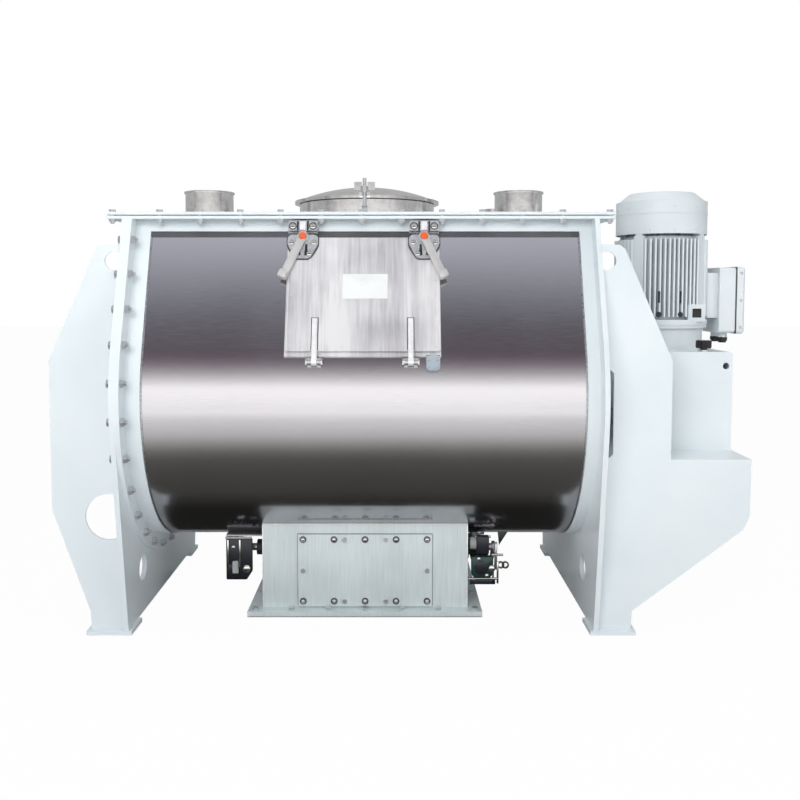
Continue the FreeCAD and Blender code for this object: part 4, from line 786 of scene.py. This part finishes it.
@dataclass
class Drive:
    """Shelf, stand, gear case and motor."""

    step_share: float = 0.5
    motor_radius: float = 0.208
    slot_offsets: tuple[float, ...] = (-0.063, 0.030)
    boss_offset: float = 0.111
    boss_back: float = 0.13
    boss_deep: float = 0.055
    boss_half: float = 0.040
    terminal_body: float = 0.079
    gland_half: float = 0.045

    def dress(self, shop: Workshop) -> None:
        """Finishes of the drive's solids."""
        shop.dress(WHITE, "drive_shelf", "motor_stand")
        shop.dress(CAST_WHITE, "gearbox", "motor_adapter")
        shop.dress(MOTOR_WHITE, "motor_body", "motor_cowl", "terminal_box", "terminal_lid")
        shop.dress(BLACK, "breather", "motor_fan")
        shop.dress(ZINC, "motor_rotor")

    def build(self, shop: Workshop) -> None:
        """Fine pieces of the motor, its terminal box and the breather."""
        low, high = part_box("motor_cowl")
        axis = (low.x + high.x) / 2
        radius = (high.y - low.y) / 2
        trim = Shape()
        step = low.z + self.step_share * (high.z - low.z)
        trim.turned((axis, 0.0, step), UP, washer(radius - 0.001, radius + 0.0018, 0.005), 64)
        for angle in range(-150, 180, 30):
            turn = math.radians(angle)
            out = Vector((math.sin(turn), -math.cos(turn), 0.0))
            for height in (low.z + 0.028, step + 0.030):
                trim.turned(tuple(out * radius + Vector((axis, 0.0, height))), tuple(out),
                            dome(0.0045, 0.003), 10)
        shop.piece("cowl_rivets", trim.mesh, MOTOR_WHITE, "root")
        self.motor_front(shop, axis)
        self.terminals(shop)
        self.knob(shop)

    def motor_front(self, shop: Workshop, axis: float) -> None:
        """Slotted and round holes on the motor's front, drawn as black slabs of painted shade, and the
        window boss.

        Args:
            shop: makes the pieces.
            axis: the motor's axis along X.
        """
        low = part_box("motor_body")[0]
        reach = self.motor_radius
        hole_shades = Shape()
        # Black slot and disc on the face: painted shade standing in for the dark inside each hole.
        for offset in self.slot_offsets:
            face = -math.sqrt(reach ** 2 - offset ** 2) + 0.002
            hole_shades.slab([(-0.005, -0.026), (0.005, -0.026), (0.005, 0.026), (-0.005, 0.026)],
                       (axis + offset, face, low.z + 0.124), 0.003, 0.001)
            hole_shades.turned((axis + offset, face, low.z + 0.046), OUT, drum(0.0125, 0.003, 0.001), 16)
        shop.piece("motor_slot_shades", hole_shades.mesh, BLACK, "root")
        boss = Shape()
        side = self.boss_half
        boss.slab(rectangle(-side, side, -side, side), (axis + self.boss_offset, -self.boss_back,
                                                        low.z + 0.052), self.boss_deep, 0.004)
        shop.piece("motor_boss", boss.mesh, MOTOR_WHITE, "root")
        window = Shape()
        window.slab(rectangle(-side * 0.5, side * 0.5, -side * 0.5, side * 0.5),
                    (axis + self.boss_offset, -self.boss_back - self.boss_deep, low.z + 0.052),
                    0.0012, 0.0005)
        shop.piece("boss_window", window.mesh, BLACK, "root")

    def terminals(self, shop: Workshop) -> None:
        """Seam, screws and cable nuts of the terminal box."""
        low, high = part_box("terminal_box")
        lid_low, lid_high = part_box("terminal_lid")
        seam = Shape()
        seam.slab(rectangle(lid_low.y + 0.002, lid_high.y - 0.002, lid_low.z + 0.002,
                            lid_high.z - 0.002),
                  (high.x - 0.006, 0.0, 0.0), 0.0065, 0.001, Facing.RIGHT)
        shop.piece("terminal_seam", seam.mesh, RUBBER, "root")
        screws = Shape()
        middle = (lid_low.x + lid_high.x) / 2
        for height in (lid_low.z + 0.030, (lid_low.z + lid_high.z) / 2, lid_high.z - 0.030):
            screws.turned((middle, lid_low.y, height), OUT, dome(0.0065, 0.004), 14)
            screws.turned((middle, lid_high.y, height), (0, 1, 0), dome(0.0065, 0.004), 14)
        shop.piece("terminal_screws", screws.mesh, ZINC, "root")
        nuts = Shape()
        body = (high.x + high.x - self.terminal_body) / 2
        for y in (-self.gland_half, self.gland_half):
            nuts.turned((body, y, low.z - 0.012), UP, drum(0.0235, 0.018, 0.003), 6)
            nuts.turned((body, y, low.z - 0.020), UP, drum(0.017, 0.012, 0.003), 16)
        shop.piece("cable_nuts", nuts.mesh, BLACK, "root")

    def knob(self, shop: Workshop) -> None:
        """Ribs, base ring and top disc of the breather."""
        low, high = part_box("breather")
        x, y = (low.x + high.x) / 2, (low.y + high.y) / 2
        radius = (high.x - low.x) / 2
        ribs = Shape()
        for index in range(18):
            turn = 2 * math.pi * index / 18
            ribs.turned((x + (radius - 0.001) * math.cos(turn), y + (radius - 0.001) * math.sin(turn),
                         high.z - 0.030), UP, drum(0.003, 0.027, 0.001), 8)
        shop.piece("breather_ribs", ribs.mesh, BLACK, "root")
        base = Shape()
        base.turned((x, y, low.z), UP, drum(radius * 0.8, 0.007, 0.002), 32)
        base.turned((x, y, high.z - 0.001), UP, drum(radius * 0.5, 0.002, 0.001), 24)
        shop.piece("breather_base", base.mesh, BRIGHT, "root")


@dataclass
class LidFittings:
    """Feed pipes, vent and manhole."""

    def dress(self, shop: Workshop) -> None:
        """Finishes of the lid's fittings."""
        shop.dress(BRIGHT, "lid_nozzles", "manhole_lid", "wing_nut", "manhole_collar")
        shop.dress(ZINC, "swing_bolt")


@dataclass
class Door:
    """Front door with its hinges and latches, in the wall's frame."""

    face: float = 0.024
    low: float = -0.019
    tall: float = 0.483
    inset: float = 0.018
    label_place: tuple[float, float] = (0.008, 0.2525)
    label_size: tuple[float, float] = (0.181, 0.105)
    hinge_half: float = 0.190
    strap_half: float = 0.009
    strap_rise: float = 0.134
    strap_plate: float = 0.008
    pin_half: float = 0.026
    pin_out: float = 0.024
    pin_drop: float = 0.042
    latch_half: float = 0.247
    base_plate: float = 0.006
    arm_plate: float = 0.0085
    arm_length: float = 0.189
    splay: float = 24.0
    seal_outline: tuple[tuple[float, float], ...] = (
        (-0.066, -0.034), (-0.060, -0.050), (-0.036, -0.088), (-0.022, -0.0965), (0.022, -0.0965),
        (0.036, -0.088), (0.060, -0.050), (0.066, -0.034), (0.066, 0.001), (-0.066, 0.001))
    base_screws: tuple[tuple[float, float], ...] = (
        (-0.045, -0.022), (0.045, -0.022), (0.027, -0.070), (-0.027, -0.070))
    keeper_face: float = 0.0465
    switch_place: tuple[float, float] = (0.277, -0.099)
    switch_face: float = 0.038

    def dress(self, shop: Workshop) -> None:
        """Finishes of the door's solids."""
        shop.dress(DOOR_STEEL, "door_panel", "door_frame")
        # Hinge straps get the near-white painted edge highlight.
        shop.dress(EDGE_HIGHLIGHT_STEEL, "door_hinge_straps")
        shop.dress(SATIN, "door_hinge_brackets", "latch_bases", "latch_keepers")
        shop.dress(LATCH_STEEL, "latch_handle_left", "latch_handle_right")
        shop.dress(ZINC, "hinge_pins")
        shop.dress(ORANGE, "latch_cap_left", "latch_cap_right")
        shop.dress(RUBBER, "hatch_gaskets")
        shop.dress(SENSOR, "limit_switch")

    def build(self, shop: Workshop) -> None:
        """Fine pieces of the door, its hinges, latches and switch."""
        low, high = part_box("door_panel")
        wall = WALL.front((low.x + high.x) / 2)
        half = (high.x - low.x) / 2
        self.skin(shop, wall, half)
        self.hinges(shop, wall)
        self.latches(shop, wall)
        self.keepers(shop, wall)
        self.switch(shop, wall)

    def skin(self, shop: Workshop, wall: Matrix, half: float) -> None:
        """Blank label place and rivets on the door's face."""
        face = (0.0, -self.face, 0.0)
        label = Shape(wall)
        x, up = self.label_place
        wide, tall = self.label_size
        label.slab(rectangle(x - wide / 2, x + wide / 2, up - tall / 2, up + tall / 2), face,
                   0.0012, 0.0004)
        shop.piece("door_label", label.mesh, LABEL, "door")
        rivets = Shape(wall)
        low, high = self.low + self.inset, self.low + self.tall - self.inset
        spots = [(side * (half - self.inset), low + (high - low) * share)
                 for side in (-1, 1) for share in (0.0, 0.16, 0.32, 0.48, 0.62, 0.74)]
        spots += [((half - self.inset) * share, low) for share in (-0.83, -0.28, 0.25, 0.55, 0.83)]
        spots += [(half * share, high) for share in (-0.3, 0.0, 0.2, 0.42)]
        for x, up in spots:
            rivets.turned((x, -self.face, up), OUT, dome(0.0032, 0.0016), 10)
        shop.piece("door_rivets", rivets.mesh, ZINC, "door")
        # Thin near-white lines along both door sides: painted highlight of the lit hem edges.
        lines = Shape(wall)
        for side in (-1, 1):
            x = side * (half - self.inset * 0.45)
            lines.slab(rectangle(x - 0.0012, x + 0.0012, self.low + 0.004, self.low + self.tall - 0.05),
                       face, 0.0008, 0.0003)
        shop.piece("door_hems", lines.mesh, EDGE_HIGHLIGHT_STEEL, "door")

    def hinges(self, shop: Workshop, wall: Matrix) -> None:
        """Strap fins on the door with a painted highlight, dark slabs painted as the shadow beside
        them, and nuts at the ends of the hinge pins.
        """
        fins = Shape(wall)
        nuts = Shape(wall)
        for side in (-1, 1):
            x = side * self.hinge_half
            # Fin in the near-white painted edge highlight.
            fins.slab(rectangle(-self.strap_half, self.strap_half, self.low - 0.030,
                                self.low + self.strap_rise), (x, -self.face - self.strap_plate,
                                                              0.0), 0.005, 0.002)
            for end in (-1, 1):
                nuts.nut((x + end * self.pin_half, -self.pin_out, self.low - self.pin_drop),
                         (end, 0, 0), 0.0135, 0.009)
        shop.piece("strap_fins", fins.mesh, EDGE_HIGHLIGHT_STEEL, "door")
        shop.piece("hinge_nuts", nuts.mesh, BRIGHT, "root")
        # Dark slabs a little wider than each strap, flat on the door: painted shadow lines along both
        # sides of the strap.
        edges = Shape(wall)
        for side in (-1, 1):
            x = side * self.hinge_half
            edges.slab(rectangle(-self.strap_half - 0.006, self.strap_half + 0.006, self.low + 0.004,
                                 self.low + self.strap_rise + 0.006), (x, -self.face, 0.0), 0.001,
                                 0.0004)
        shop.piece("strap_shadow_lines", edges.mesh, DARK_STEEL_AND_SHADE, "door")

    def latches(self, shop: Workshop, wall: Matrix) -> None:
        """Seals and screws of the latch bases, black slabs of painted shade in their pockets, washers
        and grips of the handles.
        """
        seals = Shape(wall)
        screws = Shape(wall)
        pocket_shades = Shape(wall)
        for side, word in ((-1, "left"), (1, "right")):
            x, up = side * self.latch_half, self.low + self.tall - 0.002
            seals.slab(self.seal_outline, (x, -self.face, up), 0.0045, 0.001)
            for across, rise in self.base_screws:
                screws.turned((x + across, -self.face - self.base_plate, up + rise), OUT,
                              dome(0.011, 0.005), 18)
            # Black trapezoids on each base: painted shade standing in for the dark of its pockets.
            for across in (-0.016, 0.016):
                pocket_shades.slab([(-0.007, -0.078), (0.007, -0.078), (0.004, -0.030), (-0.004, -0.030)],
                             (x + across * 0.9, -self.face - self.base_plate, up), 0.0012, 0.0005)
            arm = wall @ Matrix.Translation((x, 0.0, up)) @ Matrix.Rotation(
                math.radians(-side * self.splay), 4, "Y")
            grip = Shape(arm)
            front = -self.face - self.base_plate - self.arm_plate
            reach = -self.arm_length
            grip.slab(rectangle(-0.0185, 0.0185, reach - 0.010, reach + 0.022),
                      (0.0, front + 0.010, 0.0), 0.038, 0.006)
            grip.slab([(-0.0150, reach + 0.02), (0.0150, reach + 0.02), (0.0170, -0.003),
                       (0.0090, 0.0135), (-0.0090, 0.0135), (-0.0170, -0.003)], (0.0, front, 0.0),
                       0.0035, 0.0015)
            shop.piece(f"latch_grip_{word}", grip.mesh, LATCH_STEEL, f"latch_{word}")
            ring = Shape(arm)
            ring.turned((0.0, front - 0.003, 0.0), OUT, drum(0.0172, 0.005, 0.002), 28)
            shop.piece(f"latch_washer_{word}", ring.mesh, BRIGHT, f"latch_{word}")
        shop.piece("latch_seals", seals.mesh, RUBBER, "door")
        shop.piece("latch_screws", screws.mesh, BRIGHT, "door")
        shop.piece("latch_pocket_shades", pocket_shades.mesh, BLACK, "door")

    def keepers(self, shop: Workshop, wall: Matrix) -> None:
        """Screws, ribs with a painted highlight, and black rings and slots painted as the shade in the
        keepers' grooves.
        """
        screws = Shape(wall)
        groove_shades = Shape(wall)
        ribs = Shape(wall)
        for side in (-1, 1):
            x, up = side * self.latch_half, self.low + self.tall + 0.041
            face = -self.keeper_face
            for end in (-1, 1):
                screws.turned((x + end * 0.041, face, up), OUT, dome(0.0125, 0.005), 20)
                # Black ring round each screw head and black slots: painted shade of the grooves.
                groove_shades.turned((x + end * 0.041, face + 0.0004, up), OUT,
                               washer(0.0125, 0.0158, 0.0012), 20)
                groove_shades.slab(rectangle(-0.0035, 0.0035, -0.021, 0.021), (x + end * 0.0205, face,
                                                                         up), 0.0012, 0.0005)
            # Rib in the near-white painted edge highlight.
            ribs.slab(rectangle(-0.012, 0.012, -0.019, 0.019), (x, face, up), 0.006, 0.002)
        shop.piece("keeper_screws", screws.mesh, BRIGHT, "root")
        shop.piece("keeper_groove_shades", groove_shades.mesh, BLACK, "root")
        shop.piece("keeper_ribs", ribs.mesh, EDGE_HIGHLIGHT_STEEL, "root")

    def switch(self, shop: Workshop, wall: Matrix) -> None:
        """Cover and screws of the door switch."""
        cover = Shape(wall)
        screws = Shape(wall)
        x, low = self.switch_place
        cover.slab(rectangle(x - 0.0225, x + 0.0225, low + 0.005, low + 0.042),
                   (0.0, -self.switch_face, 0.0), 0.003, 0.0012)
        for across in (-1, 1):
            for rise in (0.010, 0.037):
                screws.turned((x + across * 0.017, -self.switch_face - 0.003, low + rise), OUT,
                              dome(0.0035, 0.002), 12)
            screws.nut((x + across * 0.021, -self.switch_face + 0.012, low + 0.058), UP,
                       0.007, 0.005)
        shop.piece("switch_cover", cover.mesh, SENSOR, "root")
        shop.piece("switch_screws", screws.mesh, BRIGHT, "root")


@dataclass
class Discharge:
    """Discharge housing with its drop gate."""

    flange_reach: float = 0.058
    bolt_margin: float = 0.022
    shaft_radius: float = 0.026
    unit_front: float = 0.105
    switch_wide: float = 0.116
    switch_tall: float = 0.168

    def dress(self, shop: Workshop) -> None:
        """Finishes of the discharge's solids."""
        shop.dress(CHUTE_STEEL, "discharge_chute", "chute_access_plate")
        shop.dress(SATIN, "gate_flap_front", "gate_flap_rear", "gate_shaft_front", "gate_shaft_rear",
                   "cylinder_rod")
        shop.dress(ZINC, "chute_bolts", "switch_bracket")
        shop.dress(BLACK, "gate_bearings", "switch_box")
        shop.dress(GREEN, "air_cylinder")

    def build(self, shop: Workshop) -> None:
        """Edges, bolt rings and the two actuator units of the discharge."""
        self.edges(shop)
        self.bolt_rings(shop)
        self.drive_unit(shop)
        self.position_unit(shop)

    def edges(self, shop: Workshop) -> None:
        """Folded edges of the housing and its flange, near-white as a painted highlight, and the access
        plate's seam.
        """
        low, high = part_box("chute_access_plate")
        housing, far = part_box("discharge_chute")
        left, right = housing.x + self.flange_reach, far.x - self.flange_reach
        # Thin near-white strips along the folds: painted highlight of the lit edges.
        edge = Shape()
        top = far.z - 0.007
        edge.slab(rectangle(left, right, top, top + 0.004), (0, high.y, 0), 0.004, 0.001)
        edge.slab(rectangle(right - 0.005, right, low.z, top), (0, high.y, 0), 0.003, 0.001)
        edge.slab(rectangle(left, left + 0.004, low.z, top), (0, high.y, 0), 0.003, 0.001)
        edge.slab(rectangle(housing.x, far.x, 0.0, 0.004), (0, housing.y + 0.003, housing.z), 0.003,
                  0.0008)
        shop.piece("chute_edges", edge.mesh, EDGE_HIGHLIGHT_STEEL, "root")
        seam = Shape()
        for x in (low.x - 0.0022, high.x):
            seam.slab(rectangle(x, x + 0.0022, low.z, high.z), (0, high.y, 0), 0.0035, 0.0006)
        seam.slab(rectangle(low.x, high.x, high.z, high.z + 0.002), (0, high.y, 0), 0.0035, 0.0006)
        shop.piece("access_seam", seam.mesh, DARK_STEEL_AND_SHADE, "root")

    def bolt_rings(self, shop: Workshop) -> None:
        """Dark washers and bright domes on the access plate's bolts."""
        low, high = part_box("chute_access_plate")
        rings = Shape()
        caps = Shape()
        span = high.x - low.x - 2 * self.bolt_margin
        for column in range(5):
            for z in (low.z + self.bolt_margin, high.z - self.bolt_margin):
                x = low.x + self.bolt_margin + span * column / 4
                rings.turned((x, low.y, z), OUT, washer(0.009, 0.0148, 0.0016), 24)
                caps.turned((x, low.y - 0.006, z), OUT, dome(0.0075, 0.0045), 18)
        shop.piece("access_bolt_rings", rings.mesh, DARK_STEEL_AND_SHADE, "root")
        shop.piece("access_bolt_caps", caps.mesh, BRIGHT, "root")

    def drive_unit(self, shop: Workshop) -> None:
        """Housing, collars, rods and eyes of the gate drive at the right end."""
        x0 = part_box("gate_bearings")[1].x
        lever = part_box("gate_shaft_front")
        y = (lever[0].y + lever[1].y) / 2 - self.unit_front
        z = lever[1].z - self.shaft_radius
        case = Shape()
        case.slab([(x0 - 0.022, z - 0.012), (x0 + 0.069, z - 0.012), (x0 + 0.073, z - 0.030),
                   (x0 + 0.073, z - 0.088), (x0 + 0.060, z - 0.106), (x0 - 0.012, z - 0.106),
                   (x0 - 0.022, z - 0.090)], (0, y, 0), 0.030, 0.006)
        shop.piece("drive_case", case.mesh, GREEN, "root")
        body = Shape()
        body.slab(rectangle(x0 - 0.002, x0 + 0.054, z + 0.000, z + 0.078), (0, y, 0), 0.034, 0.005)
        body.slab(rectangle(x0 - 0.028, x0 + 0.084, z - 0.140, z - 0.118), (0, y, 0), 0.014, 0.003)
        body.slab([(x0 + 0.096, z + 0.086), (x0 + 0.140, z + 0.086), (x0 + 0.102, z + 0.026)],
                  (0, y + 0.020, 0), 0.006, 0.0015)
        body.turned((x0 + 0.020, y - 0.030, z - 0.060), OUT, drum(0.030, 0.004, 0.001), 32)
        shop.piece("drive_valve", body.mesh, NAVY, "root")
        collar = Shape()
        collar.turned((x0 - 0.028, y - 0.015, z + 0.045), ALONG, drum(0.026, 0.026, 0.003), 32)
        collar.slab(rectangle(x0 + 0.080, x0 + 0.092, z - 0.075, z + 0.045), (0, y + 0.004, 0),
                    0.016, 0.002)
        shop.piece("drive_collar", collar.mesh, GREYBLOCK, "root")
        bright = Shape()
        bright.turned((x0 - 0.004, y - 0.020, z + 0.074), ALONG, drum(0.005, 0.066, 0.001), 12)
        bright.turned((x0 - 0.034, y - 0.012, z - 0.114), ALONG, drum(0.005, 0.128, 0.001), 12)
        bright.turned((x0 + 0.066, y - 0.020, z - 0.006), ALONG, drum(0.005, 0.050, 0.001), 12)
        bright.slab(rectangle(x0 + 0.083, x0 + 0.088, z - 0.070, z + 0.040), (0, y - 0.012, 0),
                    0.004, 0.001)
        for end in (-1, 1):
            bright.slab(rectangle(-0.004, 0.004, z - 0.136, z - 0.040), (x0 + 0.084 + end * 0.010,
                                                                         y - 0.004, 0), 0.010, 0.0015)
        bright.nut((x0 + 0.066, y - 0.034, z - 0.062), OUT, 0.012, 0.008)
        bright.nut((x0 + 0.010, y - 0.030, z - 0.022), OUT, 0.007, 0.005)
        bright.nut((x0 + 0.045, y - 0.030, z - 0.095), OUT, 0.007, 0.005)
        for reach in (0.108, 0.128):
            bright.turned((x0 + reach, y - 0.002, z - 0.055), OUT, washer(0.009, 0.016, 0.008), 28)
        shop.piece("drive_rods", bright.mesh, BRIGHT, "root")

    def position_unit(self, shop: Workshop) -> None:
        """Housing, plates, nut and block of the position switch at the left end."""
        low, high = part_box("switch_box")
        y = low.y + 0.004
        top, foot = high.z + 0.016, high.z - self.switch_tall
        right = low.x + self.switch_wide
        case = Shape()
        case.slab([(low.x, top), (low.x, foot), (right - 0.026, foot), (right, foot + 0.040),
                   (right, top)], (0, y, 0), 0.012, 0.004)
        case.slab(rectangle(low.x + 0.006, low.x + 0.050, foot + 0.010, foot + 0.070),
                  (0, y - 0.012, 0), 0.004, 0.0015)
        shop.piece("position_case", case.mesh, NAVY, "root")
        plates = Shape()
        for x in (low.x + 0.006, low.x + 0.058):
            plates.slab(rectangle(x, x + 0.007, high.z - 0.110, top - 0.004), (0, y - 0.012, 0),
                        0.006, 0.0015)
        plates.slab(rectangle(low.x - 0.004, right - 0.004, top, top + 0.005), (0, y + 0.004, 0),
                    0.018, 0.0015)
        plates.nut((low.x + 0.090, y - 0.012, high.z - 0.118), OUT, 0.014, 0.010)
        plates.nut((low.x + 0.033, y - 0.014, high.z - 0.022), OUT, 0.007, 0.005)
        shop.piece("position_plates", plates.mesh, BRIGHT, "root")
        block = Shape()
        block.slab(rectangle(low.x + 0.030, low.x + 0.056, high.z - 0.135, high.z - 0.080),
                   (0, y - 0.016, 0), 0.012, 0.003)
        block.turned((low.x + 0.043, y - 0.028, high.z - 0.108), OUT, drum(0.009, 0.004, 0.001), 20)
        shop.piece("position_block", block.mesh, GREYBLOCK, "root")


def main() -> None:
    """Build the whole scene in order."""
    logging.basicConfig(level=logging.INFO, format="%(name)s: %(message)s")
    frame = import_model()
    shop = Workshop(frame)
    for part in (Trough(), Agitator(), Drive(), LidFittings(), Door(), Discharge()):
        part.dress(shop)
    for part in (Trough(), Drive(), Door(), Discharge()):
        part.build(shop)
    Studio().build()


if __name__ == "__main__":
    main()
